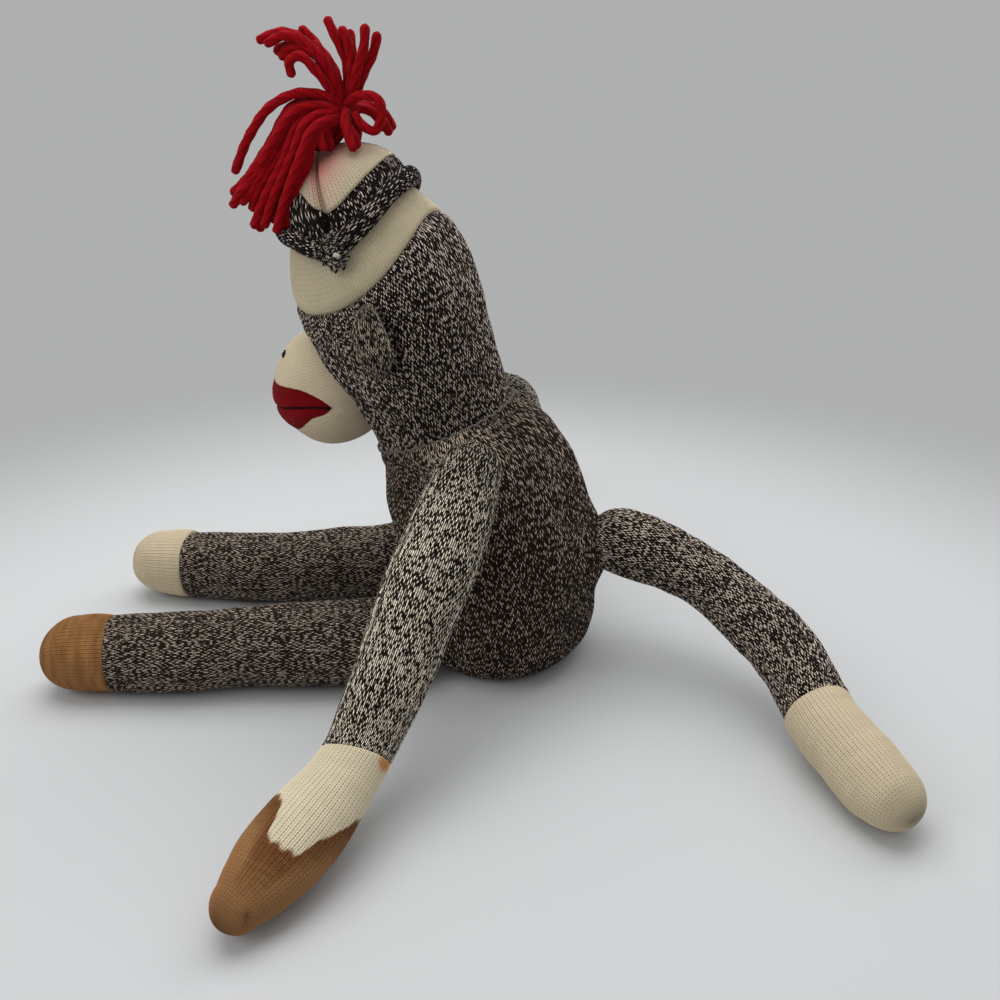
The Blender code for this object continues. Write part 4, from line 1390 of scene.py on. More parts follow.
@dataclass
class Muzzle:
    """The stuffed muzzle with its red lips, mouth line and nostrils."""

    form: HeadForm = field(default_factory=HeadForm)
    half_width: float = 0.036
    half_depth: float = 0.0325
    half_height: float = 0.031
    forward: float = 0.0505
    rise: float = 0.0325
    corner: float = 112.0
    upper_lip: tuple = (
        (0.0, 0.0490),
        (35.0, 0.0493),
        (69.0, 0.0470),
        (90.0, 0.0438),
        (102.0, 0.0388),
        (108.5, 0.0342),
        (112.0, 0.0300),
        (180.0, -0.05),
    )
    lower_lip: tuple = (
        (0.0, 0.0205),
        (50.0, 0.0215),
        (66.8, 0.0232),
        (80.8, 0.0262),
        (93.0, 0.0284),
        (102.8, 0.0283),
        (112.0, 0.0298),
        (180.0, 0.09),
    )
    mouth: tuple = (
        (0.0, 0.0363),
        (70.0, 0.0361),
        (83.0, 0.0352),
        (98.0, 0.0333),
        (110.0, 0.0303),
        (118.0, 0.0282),
        (127.0, 0.0248),
        (180.0, 0.020),
    )
    nostril: tuple = (
        (40.0, 0.0592, -0.001),
        (44.0, 0.0590, 0.0004),
        (52.0, 0.0584, 0.0006),
        (58.0, 0.0578, -0.001),
    )

    def rings(self) -> Rings:
        """Rings from the muzzle's back, inside the head, to its front.

        Returns:
            The rings on the head's axes.
        """
        angle = np.linspace(math.pi, 0.0, 700)
        zero = np.zeros_like(angle)
        ahead = -self.forward - self.half_depth * np.cos(angle)
        middles = np.stack((zero, ahead, zero + self.rise), 1)
        size = np.maximum(np.sin(angle), 1e-6)
        first = np.stack((self.half_width * size, zero, zero), 1)
        second = np.stack((zero, zero, self.half_height * size), 1)
        return Rings(middles, first, second, self.forward * angle)

    def turns(self, points: np.ndarray) -> np.ndarray:
        """How far round from its front each point of the muzzle lies, in degrees."""
        ahead = -(points[:, 1] + self.forward) / self.half_depth
        return np.degrees(np.arctan2(np.abs(points[:, 0]) / self.half_width, ahead))

    def line_at(self, turns: np.ndarray, table: tuple) -> np.ndarray:
        """The height of a lip's edge or the mouth at some turns."""
        spots, heights = zip(*table)
        return eased(spots, heights, turns)

    def lips(self, points: np.ndarray, _out: np.ndarray, _distance: np.ndarray) -> np.ndarray:
        """How far inside the lips each point lies.

        Args:
            points: Places on the head's axes.

        Returns:
            Metres inside, negative outside.
        """
        turns = self.turns(points)
        above = self.line_at(turns, self.upper_lip) - points[:, 2]
        below = points[:, 2] - self.line_at(turns, self.lower_lip)
        return np.minimum(above, below)

    def shape(self, points: np.ndarray, out: np.ndarray, distance: np.ndarray) -> np.ndarray:
        """Pull the mouth line in and puff the lips.

        Args:
            points: The plain muzzle.
            out: The ways out of it.

        Returns:
            The shaped muzzle in the doll's frame.
        """
        sizes = np.array((self.half_width, self.half_depth, self.half_height))
        way = units((points - np.array((0.0, -self.forward, self.rise))) / sizes)
        turns = self.turns(points)
        away = points[:, 2] - self.line_at(turns, self.mouth)
        deep = np.interp(turns, (0, 100, 112, 124, 136), (0.0017, 0.0015, 0.0011, 0.0009, 0.0))
        crease = deep * np.exp(-np.abs(away) / 0.0016)
        puff = np.clip(self.lips(points, out, distance) / 0.004, 0.0, 1.0) * 0.0006
        swell = lumps(points, 0.04, 0.0006, 21)
        return self.form.out(points + way * (puff + swell - crease)[:, None])

    def on_skin(self, turn: float, rise: float, proud: float) -> np.ndarray:
        """A place on the muzzle in the doll's frame.

        Args:
            turn: Degrees round from its front.
            rise: Height on the head's axis.
            proud: How far out of the knit it lies.

        Returns:
            The place.
        """
        up = (rise - self.rise) / self.half_height
        level, angle = math.sqrt(max(1.0 - up * up, 0.0)), math.radians(turn)
        share = np.array((level * math.sin(angle), -level * math.cos(angle), up))
        sizes = np.array((self.half_width, self.half_depth, self.half_height))
        place = share * sizes + units(share / sizes) * proud
        return self.form.out((np.array((0.0, -self.forward, self.rise)) + place)[None])[0]

    def build(self) -> None:
        """Knit the muzzle, then sew the mouth and the nostrils."""
        roller = Roller("muzzle_knit", 84, 0.0015, 0.00010)
        piece = roller.piece(self.rings(), self.shape, {"lips": self.lips})
        dress(piece, CREAM_MUZZLE.material(), ("muzzle_skin", "muzzle_stuffing"))
        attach(piece, "head")
        turns = np.linspace(-self.corner + 1.0, self.corner - 1.0, 240)
        heights = self.line_at(np.abs(turns), self.mouth)
        sunk = np.interp(np.abs(turns), (0.0, 90.0, self.corner), (-0.0012, -0.0010, -0.0002))
        line = np.array([self.on_skin(t, h, p) for t, h, p in zip(turns, heights, sunk)])
        mouth = bundled("mouth_line_thread", [Strand(line, 0.0008, 2, 700.0, 8)])
        dress(mouth, MOUTH_THREAD.material(), ("mouth_thread",))
        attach(mouth, "head")
        black = BLACK_THREAD.material()
        for side, sign in (("left", 1), ("right", -1)):
            strands = []
            for lift in (-0.0005, 0.0, 0.0005):
                spots = [self.on_skin(sign * t, h + lift, p) for t, h, p in self.nostril]
                strands.append(Strand(dense(spots), 0.0004, 2, 1200.0, 8))
            stitch = bundled(side + "_nostril_threads", strands)
            dress(stitch, black, (side + "_nostril_stitch",))
            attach(stitch, "head")


@dataclass
class Eyes:
    """Two flat round eyes of black satin stitches."""

    form: HeadForm = field(default_factory=HeadForm)
    rise: float = 0.074
    spread: float = 0.0085
    radius: float = 0.0047
    pitch: float = 0.00055

    def build(self) -> None:
        """Sew each eye from level threads."""
        black = BLACK_THREAD.material()
        for side, sign in (("left", 1), ("right", -1)):
            strands = []
            rows = int(self.radius / self.pitch)
            for row in range(-rows, rows + 1):
                level = row * self.pitch
                half = math.sqrt(max(self.radius**2 - level**2, 1e-7))
                spots = []
                for share in np.linspace(-1.0, 1.0, 9):
                    across = sign * self.spread + half * share
                    high = self.rise + level
                    wall = float(self.form.radius_at(np.array(high)))
                    crown = (1.0 - share**4) * (1.0 - (level / self.radius) ** 2 * 0.5)
                    lift = 0.0004 + 0.0011 * crown
                    turn = across / wall
                    reach = wall + lift - (0.0012 if abs(share) > 0.95 else 0.0)
                    spots.append((reach * math.sin(turn), -reach * math.cos(turn), high))
                line = self.form.out(dense(spots, 0.0002))
                strands.append(Strand(line, self.pitch * 0.55, 2, 1200.0, 6, 0.08))
            eye = bundled(side + "_eye_threads", strands)
            dress(eye, black, (side + "_eye_stitch",))
            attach(eye, "head")


@dataclass
class Ears:
    """Two padded ears."""

    form: HeadForm = field(default_factory=HeadForm)
    rise: float = 0.0605
    turn: float = 11.0
    half_height: float = 0.0174
    half_thickness: float = 0.0077
    reach: float = 0.0175
    seat: float = -0.0012
    slant: float = -11.0

    def build(self) -> None:
        """Knit both ears and sew them on."""
        finish = MARL_EAR.material()
        for side, sign in (("left", 1), ("right", -1)):
            hinge = Matrix.Rotation(math.radians(sign * self.turn), 4, "Z") @ Matrix.Translation(
                (sign * (self.form.radius + self.half_thickness + self.seat), 0.0, self.rise)
            ) @ Matrix.Rotation(math.radians(self.slant), 4, "X")
            place = np.array(self.form.matrix() @ hinge)
            angle = np.linspace(-math.pi / 2, math.pi / 2, 400)
            size = np.maximum(np.cos(angle), 1e-6) ** 0.9
            zero = np.zeros_like(angle)
            middle = sign * (self.reach - self.half_thickness) / 2
            half = (self.reach + self.half_thickness) / 2
            middles = np.stack((middle * size, zero, self.half_height * np.sin(angle)), 1)
            first = np.stack((half * size, zero, zero), 1)
            second = np.stack((zero, self.half_thickness * size, zero), 1)
            rings = Rings(middles, first, second, angle)

            def shape(points: np.ndarray, out: np.ndarray, _distance: np.ndarray) -> np.ndarray:
                swell = lumps(points, 0.025, 0.0005, 31 + sign)
                moved = points + out * swell[:, None]
                return moved @ place[:3, :3].T + place[:3, 3]

            piece = Roller(side + "_ear_knit", 34, SLEEVE_PITCH).piece(rings, shape)
            dress(piece, finish, (side + "_ear",))
            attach(piece, side + "_ear")


@dataclass
class Cap:
    """The cap: marled band, cream top, rolled brim and the knot that gathers it.

    Its seams are given on one side as (turn, height) rows: degrees from the side towards the
    back, and metres on the head's axis. The other side mirrors them.
    """

    form: HeadForm = field(default_factory=HeadForm)
    brim_roll: float = 0.0039
    brim_ease: float = 0.0040
    wall_ease: float = 0.0026
    top: float = 0.1415
    round: float = 2.3
    gather: float = 8.0
    brim_line: tuple = (
        (-90.0, 0.1165),
        (-60.0, 0.1155),
        (-31.0, 0.1120),
        (-6.0, 0.1052),
        (7.0, 0.1026),
        (14.0, 0.1040),
        (29.0, 0.1075),
        (70.0, 0.1150),
        (90.0, 0.1160),
    )
    seam_line: tuple = (
        (-90.0, 0.1368),
        (-50.0, 0.1350),
        (-12.0, 0.1290),
        (7.0, 0.1180),
        (8.5, 0.1168),
        (10.5, 0.1172),
        (22.0, 0.1190),
        (36.0, 0.1222),
        (54.0, 0.1252),
        (75.0, 0.1271),
        (90.0, 0.1276),
    )

    def side_turn(self, points: np.ndarray) -> np.ndarray:
        """Degrees from the side of the head towards its back, from -90 to 90."""
        return np.degrees(np.arctan2(points[:, 1], np.abs(points[:, 0]) + 1e-9))

    def level(self, turn: np.ndarray, table: tuple) -> np.ndarray:
        """The height of a seam at some turns."""
        spots, heights = zip(*table)
        return eased(spots, heights, turn)

    def wall(self, turn: np.ndarray, height: np.ndarray) -> np.ndarray:
        """The cap's radius at some turns and heights.

        Args:
            turn: Degrees from the side.
            height: Metres on the head's axis.

        Returns:
            One radius per point.
        """
        low = self.level(turn, self.brim_line)
        wide = self.form.radius_at(low, True) + self.wall_ease
        share = np.clip((height - low) / (self.top - low), 0.0, 1.0)
        return wide * np.sqrt(1.0 - share**self.round)

    def drawn(self, turn: np.ndarray, height: np.ndarray) -> np.ndarray:
        """How far the cap is drawn in by the fold and pleats at each of its sides.

        Args:
            turn: Degrees from the side.
            height: Metres on the head's axis.

        Returns:
            One depth per point.
        """
        off = turn - self.gather
        fold = 0.0042 * np.exp(-((off / 4.0) ** 2))
        step = 0.0014 * np.exp(-(((off + 14.0) / 14.0) ** 2))
        pleats = 0.0004 * np.cos(np.radians(off * 16.0)) * np.exp(-((off / 40.0) ** 2))
        return (fold + step + pleats) * np.clip((self.top - height) / 0.006, 0.0, 1.0)

    def band_shape(self, points: np.ndarray, out: np.ndarray, share: np.ndarray) -> np.ndarray:
        """Fit the band between the brim and the cream top.

        Args:
            points: A plain ring of knit.
            out: The ways out of it.
            share: How far up it each point lies, below 0 and above 1 on its ends.

        Returns:
            The band in the doll's frame.
        """
        turn = self.side_turn(points)
        low = self.level(turn, self.brim_line) - 0.0022
        high = self.level(turn, self.seam_line) + 0.0006
        height = low + (high - low) * np.clip(share, 0.0, 1.0)
        wide = self.wall(turn, np.maximum(height, low + 0.0022)) - self.drawn(turn, height)
        wide += lumps(points, 0.025, 0.0003, 41) - 0.0010 * np.exp(-(((share - 1.0) / 0.12) ** 2))
        wide *= np.clip(1.0 + np.minimum(share, 1.0 - share), 0.0, 1.0)
        return self.fitted(points, wide, height)

    def top_shape(self, points: np.ndarray, out: np.ndarray, share: np.ndarray) -> np.ndarray:
        """Fit the cream top over the band's upper seam.

        Args:
            points: A plain dome.
            out: The ways out of it.
            share: How far up it each point lies, below 0 on its underside.

        Returns:
            The top in the doll's frame.
        """
        turn = self.side_turn(points)
        low = self.level(turn, self.brim_line)
        seam = self.level(turn, self.seam_line)
        start = np.arcsin(np.clip((seam - low) / (self.top - low), 0.0, 0.999))
        angle = start + (math.pi / 2 - start) * np.clip(share, 0.0, 1.0)
        height = low + (self.top - low) * np.sin(angle)
        wide = self.wall(turn, height) - self.drawn(turn, height)
        wide += lumps(points, 0.025, 0.0003, 42) * np.clip(wide / 0.01, 0.0, 1.0)
        wide *= np.clip(1.0 + share, 0.0, 1.0) * np.where(share >= 1.0, 0.0, 1.0)
        return self.fitted(points, wide, height)

    def fitted(self, points: np.ndarray, wide: np.ndarray, height: np.ndarray) -> np.ndarray:
        """Put points at new radii and heights round the head's axis.

        Args:
            points: Where they were.
            wide: Their new radii.
            height: Their new heights.

        Returns:
            The points in the doll's frame.
        """
        ways = units(points * np.array((1.0, 1.0, 0.0)) + np.array((1e-12, 0.0, 0.0)))
        moved = ways * np.maximum(wide, 0.0)[:, None]
        moved[:, 2] = height
        return self.form.out(moved)

    def pink(self, points: np.ndarray, _out: np.ndarray, share: np.ndarray) -> np.ndarray:
        """How far inside the area stained by the red yarn each point lies."""
        turn = self.side_turn(points)
        return (share - 0.40) * 0.03 + 0.008 * np.exp(-(((turn - self.gather) / 28.0) ** 2))

    def shade(self, points: np.ndarray, _out: np.ndarray, share: np.ndarray) -> np.ndarray:
        """How much painted shade darkens the fold at each side of the top."""
        off = self.side_turn(points) - self.gather
        return (np.exp(-((off / 2.2) ** 2)) + 0.25 * np.exp(-(((off + 9.0) / 9.0) ** 2))) * 0.6

    def tube(self, rise: float, radii: tuple[float, float]) -> Rings:
        """A plain closed tube whose distances are shares up it.

        Args:
            rise: Its height.
            radii: Its radius at the bottom and the top.

        Returns:
            The rings, with end discs at shares below 0 and above 1.
        """
        ends = (np.linspace(-1.0, 0.0, 80)[:-1], np.linspace(1.0, 2.0, 80)[1:])
        share = np.concatenate((ends[0], np.linspace(0.0, 1.0, 300), ends[1]))
        inner = np.clip(share, 0.0, 1.0)
        wide = radii[0] + (radii[1] - radii[0]) * inner
        wide = wide * np.clip(1.0 + np.minimum(share, 1.0 - share), 0.0, 1.0)
        rings = self.form.spun(inner * rise, wide)
        rings.distance = share
        return rings

    def dome(self, rise: float, radius: float) -> Rings:
        """A plain closed dome whose distances are shares up it.

        Args:
            rise: Its height.
            radius: Its radius at the bottom.

        Returns:
            The rings, with an underside at shares below 0.
        """
        share = np.concatenate((np.linspace(-1.0, 0.0, 80)[:-1], np.linspace(0.0, 1.0, 400)))
        angle = np.clip(share, 0.0, 1.0) * math.pi / 2
        wide = radius * np.cos(angle) * np.clip(1.0 + share, 0.0, 1.0)
        rings = self.form.spun(rise * np.sin(angle), wide)
        rings.distance = share
        return rings

    def build(self) -> None:
        """Knit the band, the top and the brim, and sew the knot."""
        roller = Roller("cap_band_knit", 104, 0.0014, 0.00022)
        piece = roller.piece(self.tube(0.0135, (0.036, 0.032)), self.band_shape)
        dress(piece, MARL_BRIM.material(), ("cap_band",))
        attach(piece, "head")
        roller = Roller("cap_top_knit", 92, 0.0013, 0.00020)
        marks = {"pink": self.pink, "shade": self.shade}
        piece = roller.piece(self.dome(0.017, 0.030), self.top_shape, marks)
        dress(piece, CREAM_CAP.material(), ("cap_crown",))
        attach(piece, "head")
        self.build_brim()
        self.build_knot()

    def brim_point(self, turns: np.ndarray, proud: float = 0.0) -> np.ndarray:
        """Places along the brim's middle, on the head's axes.

        Args:
            turns: Radians round the head from its left side.
            proud: How much further out they lie.

        Returns:
            The places.
        """
        flat = np.stack((np.cos(turns), np.sin(turns), 0.0 * turns), 1)
        height = self.level(self.side_turn(flat), self.brim_line)
        wide = self.form.radius_at(height, True) + self.brim_ease + proud
        return flat * wide[:, None] + np.array((0.0, 0.0, 1.0)) * height[:, None]

    def build_brim(self) -> None:
        """Roll the brim, whose stitch columns run round the head."""
        turns = np.linspace(0.0, 2 * math.pi, 1200)
        line = self.brim_point(turns)
        heading = units(np.gradient(line, axis=0))
        heading[0] = heading[-1] = units(heading[1] + heading[-2])
        out = np.stack((np.cos(turns), np.sin(turns), 0 * turns), 1)
        up = units(np.cross(heading, out))
        out = np.cross(up, heading)
        off = (self.side_turn(out) - self.gather) / 9.0
        size = self.brim_roll * (1.0 + 0.05 * np.sin(turns * 5.0) - 0.22 * np.exp(-(off**2)))
        rings = Rings(line, out * size[:, None], -up * size[:, None] * 1.2, turns)

        def shape(points: np.ndarray, _out: np.ndarray, _distance: np.ndarray) -> np.ndarray:
            return self.form.out(points)

        brim = Roller("cap_brim_knit", 16, 0.0019, 0.00030).piece(rings, shape)
        dress(brim, MARL_BRIM.material(), ("cap_brim_roll",))
        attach(brim, "head")

    def build_knot(self) -> None:
        """Sew the gather at the brim's low place from loops of the marled yarn."""
        spot = self.brim_point(np.array((math.radians(self.gather),)), 0.0022)[0]
        out = units(np.array((spot[0], spot[1], 0.0)))
        across, up = np.array((-out[1], out[0], 0.0)), np.array((0.0, 0.0, 1.0))
        chance = np.random.default_rng(8)
        strands = []
        for number in range(26):
            reach = 0.0062 * math.sqrt((number + 0.5) / 26)
            turn = number * 2.4
            middle = np.array((reach * math.cos(turn), reach * math.sin(turn)))
            heading = turn * 0.5 + 1.0
            length = 0.0020 + 0.0012 * chance.random()
            way = np.array((math.cos(heading), math.sin(heading))) * length
            lift = 0.0036 * math.sqrt(max(1.0 - (reach / 0.0072) ** 2, 0.0))
            spots = []
            for share, proud in KNOT_LOOP:
                flat = middle + way * share + 0.0004 * chance.normal(size=2)
                spots.append(spot + across * flat[0] + up * flat[1] + out * (lift + proud))
            strands.append(Strand(self.form.out(dense(spots, 0.0002)), 0.0009, 2, 900.0, 10))
        for shift in (-0.0030, 0.0010):
            spots = []
            for side, drop, proud in KNOT_TAIL:
                flat = (shift + side * 0.001, drop * 0.001)
                spots.append(spot + across * flat[0] + up * flat[1] + out * proud * 0.001)
            strands.append(Strand(self.form.out(dense(spots, 0.0002)), 0.0006, 2, 900.0, 8))
        knot = bundled("cap_knot_yarn", strands)
        dress(knot, KNOT_YARN.material(), ("cap_knot",))
        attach(knot, "head")
        ends = ((0.0, 0.0, 2.6), (1.5, -1.4, 4.4), (3.4, -2.6, 4.6))
        spots = [spot + across * a * 0.001 + up * b * 0.001 + out * c * 0.001 for a, b, c in ends]
        line = self.form.out(dense(spots, 0.0002))
        stub = bundled("cap_knot_end", [Strand(line, 0.0011, 2, 700.0, 10)])
        dress(stub, PALE_STUB.material(), ("cap_knot",))
        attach(stub, "head")


@dataclass(frozen=True)
class YarnFall:
    """A bunch of pompom strands along one guide, as (left, back, up) places in millimetres."""

    guide: tuple[Point, ...]
    count: int = 1
    spread: float = 2.6


@dataclass
class Pompom:
    """A loose pompom of thick red yarn, sewn on the cap's top and drooping forwards."""

    form: HeadForm = field(default_factory=HeadForm)
    root: Point = (0.01143, -0.08168, 0.26619)
    core: Point = (0.0015, 0.0105, 0.0175)
    radius: float = 0.00215
    falls: tuple = (
        YarnFall(((0, 12, 22), (2, 14, 38), (3, 10, 48), (2, 6, 56))),
        YarnFall(((2, 14, 23), (4, 17, 38), (5, 16, 46), (5, 13, 52))),
        YarnFall(((-2, 15, 22), (0, 17, 37), (-1, 16, 45), (-3, 15, 51))),
        YarnFall(((3, 16, 23), (6, 20, 34), (7, 24, 44), (7, 25, 53))),
        YarnFall(((0, 16, 22), (2, 22, 33), (2, 27, 42), (1, 29, 50))),
        YarnFall(((4, 10, 23), (8, 6, 36), (9, -2, 44), (8, -9, 46), (6, -20, 42)), 5, 3.4),
        YarnFall(((-4, 8, 22), (-6, 4, 37), (-8, -3, 46), (-9, -8, 50)), 3, 3.5),
        YarnFall(((6, 9, 22), (12, 3, 34), (14, -4, 40), (14, -8, 38), (12, -8, 31))),
        YarnFall(((6, 10, 20), (14, -4, 25), (16, -17, 20), (16, -29, 7), (14, -39, -10))),
        YarnFall(((6, 9, 18), (14, -5, 18), (18, -18, 1), (18, -30, -14), (16, -37, -22)), 8, 4.4),
        YarnFall(((4, 9, 17), (12, -4, 14), (16, -13, -1), (16, -23, -19), (15, -29, -29)), 8, 4.4),
        YarnFall(((7, 10, 15), (17, 2, 12), (21, -5, -3), (21, -13, -20), (19, -19, -33)), 8, 4.2),
        YarnFall(((-4, 9, 15), (-4, -2, 13), (-2, -12, -4), (0, -20, -20), (0, -26, -30)), 7, 4.4),
        YarnFall(
            ((-6, 8, 18), (-14, -2, 18), (-18, -12, 6), (-18, -20, -8), (-16, -24, -18)), 5, 4.0
        ),
        YarnFall(((5, 11, 17), (13, 6, 13), (17, 6, 6), (16, 8, 0)), 2, 2.5),
        YarnFall(((4, 13, 17), (11, 15, 12), (14, 18, 6), (14, 20, 1)), 2, 2.5),
        YarnFall(((-4, 12, 17), (-12, 12, 14), (-17, 10, 7), (-18, 8, 0)), 3, 3.0),
        YarnFall(((-4, 14, 18), (-10, 20, 18), (-14, 26, 14), (-16, 29, 7)), 3, 3.0),
        YarnFall(
            ((4, 14, 20), (8, 23, 24), (9, 30, 22), (9, 31, 16))
            + ((8, 27, 9), (8, 22, 11), (6, 17, 17))
        ),
    )

    def lines(self, fall: YarnFall, chance: np.random.Generator) -> list[np.ndarray]:
        """Spread one bunch of strands round its guide.

        Args:
            fall: The bunch.
            chance: Where its unevenness comes from.

        Returns:
            A line of points for each strand, in the doll's frame.
        """
        guide = np.array(((0.0, 0.0, 0.0),) + fall.guide) * 0.001
        guide[0] = np.array(self.core) * np.array((1.0, 0.9, 0.7))
        lines = []
        for number in range(fall.count):
            turn = number * 2.4 + chance.uniform(0.0, 1.0)
            reach = fall.spread * 0.001 * math.sqrt((number + 0.35) / fall.count) * 1.5
            side = np.array((math.cos(turn), -math.sin(turn) * 0.75, math.sin(turn) * 0.66)) * reach
            many = fall.count > 1
            share = np.linspace(0.35, 1.0, len(guide))[:, None] if many else np.zeros((1, 1))
            line = guide + side * share + chance.normal(size=guide.shape) * 0.0006 * share
            longer = 1.0 + 0.16 * (chance.random() - 0.5) * np.sign(share)
            line = line[0] + (line - line[0]) * longer
            lines.append(dense(line, 0.0006) + np.array(self.root))
        return lines

    def strand(self, line: np.ndarray) -> Strand:
        """One strand of the pompom's yarn along a line."""
        return Strand(line, self.radius, 4, 200.0, 16, 0.075)

    def build(self) -> None:
        """Twist the strands and tie them on."""
        chance = np.random.default_rng(17)
        lines = [line for fall in self.falls for line in self.lines(fall, chance)]
        yarn = bundled("pompom_strands", [self.strand(line) for line in lines])
        dress(yarn, RED_YARN.material(), ("pompom_yarn",))
        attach(yarn, "pompom")
        turns = np.linspace(0.0, 4 * math.pi, 300)
        ring = np.stack((0.0036 * np.cos(turns), 0.0036 * np.sin(turns), 0.0 * turns), 1)
        ring += np.array((0.0, 0.001, 0.1420))
        ring[:, 2] += 0.0016 * turns / (4 * math.pi)
        strands = [Strand(self.form.out(ring), 0.0012, 3, 400.0, 10)]
        for turn in np.linspace(0.0, 2 * math.pi, 7)[:-1]:
            way = np.array((math.cos(turn), math.sin(turn), 0.0))
            foot = self.form.out((way * 0.003 + np.array((0.0, 0.001, 0.1405)))[None])[0]
            head = np.array(self.root) + np.array(self.core) + way * 0.002
            middle = (foot + head) / 2 + way * 0.002
            strands.append(self.strand(dense((foot, middle, head), 0.0006)))
        tie = bundled("pompom_tie_yarn", strands)
        dress(tie, RED_YARN.material(), ("pompom_tie",))
        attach(tie, "pompom")


@dataclass
class Arm:
    """One long arm with its cream hand."""

    side: str
    start: Point
    arm_aims: tuple
    hand_aims: tuple
    lean: Point
    seed: int
    stained: bool = False
    arm_length: float = 0.134
    hand_length: float = 0.094
    seam: float = 0.1395
    face: Point = (0.45, 0.58, 0.68)
    tip_seam: Point = (0.2294, -0.0608, 0.019)
    profile: tuple = (
        (-0.02, 0.0148),
        (0.0, 0.0152),
        (0.012, 0.0174),
        (0.0268, 0.0188),
        (0.0536, 0.0189),
        (0.0831, 0.0183),
        (0.1099, 0.0162),
        (0.134, 0.0149),
        (0.1471, 0.0152),
        (0.1602, 0.0168),
        (0.1766, 0.0178),
        (0.193, 0.0170),
        (0.2062, 0.0143),
        (0.216, 0.0108),
    )
    stain_edge: tuple = (
        (-180.0, 0.166),
        (-90.0, 0.160),
        (-60.0, 0.164),
        (-41.0, 0.169),
        (-32.0, 0.175),
        (-15.0, 0.184),
        (-10.0, 0.191),
        (-3.0, 0.194),
        (23.0, 0.1957),
        (42.0, 0.195),
        (50.0, 0.184),
        (70.0, 0.176),
        (180.0, 0.166),
    )

    def stain(self, points: np.ndarray, out: np.ndarray, distance: np.ndarray) -> np.ndarray:
        """How far inside the tan end of the hand each point lies, past a pointed cream tongue."""
        way = aim(*np.array(self.hand_aims[0]))
        front = np.asarray(self.face) - way * (np.asarray(self.face) @ way)
        turn = np.degrees(np.arctan2(out @ np.cross(way, units(front)), out @ units(front)))
        spots, edges = zip(*self.stain_edge)
        wide = np.hypot(*(points - np.asarray(self.start))[:, :2].T)
        ragged = 0.0008 * np.sin(turn * 0.35) + 0.0004 * np.sin(turn * 0.9 + wide * 400.0)
        return distance - eased(spots, edges, turn) + ragged

    def seam_shade(self, points: np.ndarray, _out: np.ndarray, _distance: np.ndarray) -> np.ndarray:
        """How near each point lies to the short seam that closes the hand's tip.

        Args:
            points: Places on the plain hand.

        Returns:
            A share from 0 to 1.
        """
        gap = points - np.asarray(self.tip_seam)
        along = gap @ units(np.array((-0.25, 0.20, 0.94)))
        aside = np.sqrt(np.maximum(np.sum(gap * gap, axis=1) - along**2, 0.0))
        return np.exp(-((aside / 0.0011) ** 2) - (along / 0.0045) ** 2)

    def toe_seam(self, points: np.ndarray, out: np.ndarray, distance: np.ndarray) -> np.ndarray:
        """Draw the knit in along the seam at the hand's tip."""
        return points - out * (0.0011 * self.seam_shade(points, out, distance))[:, None]

    def painted_top_shade(self, _points: np.ndarray, _out: np.ndarray, distance: np.ndarray) -> np.ndarray:
        """How much painted shade, below 0, darkens the sleeve towards the body."""
        return -0.5 * np.clip((0.028 - distance) / 0.035, 0.0, 1.0)

    def spot(self, points: np.ndarray, out: np.ndarray, distance: np.ndarray) -> np.ndarray:
        """How far inside the small stain at the wrist each point lies."""
        near = np.arccos(np.clip(out @ units(np.array((0.40, 0.80, 0.05))), -1.0, 1.0)) * 0.016
        return 0.0045 - np.hypot(near, (distance - self.seam - 0.001) * 1.2)

    def build(self, knit: bpy.types.Material, cream: bpy.types.Material) -> None:
        """Knit the sleeve and the hand.

        Args:
            knit: The sleeve's finish.
            cream: The hand's finish.
        """
        legs = (self.arm_length, *self.arm_aims), (self.hand_length, *self.hand_aims)
        line = LimbLine(self.start, legs)
        start, end = line.fold(self.arm_length, 0.014)
        names = (self.side + "_arm_root", self.side + "_arm_sleeve", self.side + "_arm_stuffing")
        # The sleeve's pale mark is painted shade towards the body.
        sleeve = LimbPart(
            self.side + "_sleeve_knit", line, self.profile, 0.0, self.seam + 0.0012,
            Ending.DOME, Ending.FLAT, 50, SLEEVE_PITCH, 0.0005,
            self.lean, self.seam, self.seed, rest=True,
        ).make({"pale": self.painted_top_shade})
        dress(sleeve, knit, names)
        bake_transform(sleeve)
        # Tan and wrist are stains; the shade mark is painted shade along the seam at the hand's
        # tip.
        stains_and_shade = {"tan": self.stain, "wrist": self.spot, "shade": self.seam_shade}
        hand = LimbPart(
            self.side + "_hand_bag", line, self.profile, self.seam, 0.216,
            Ending.FLAT, Ending.DOME, 50, CREAM_PITCH, 0.0002,
            self.lean, self.seam, self.seed + 3, 0.0004, True,
        ).make(stains_and_shade if self.stained else {}, self.toe_seam if self.stained else None)
        names = (self.side + "_hand_knit", self.side + "_hand_stuffing")
        dress(hand, cream, names)
        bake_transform(hand)


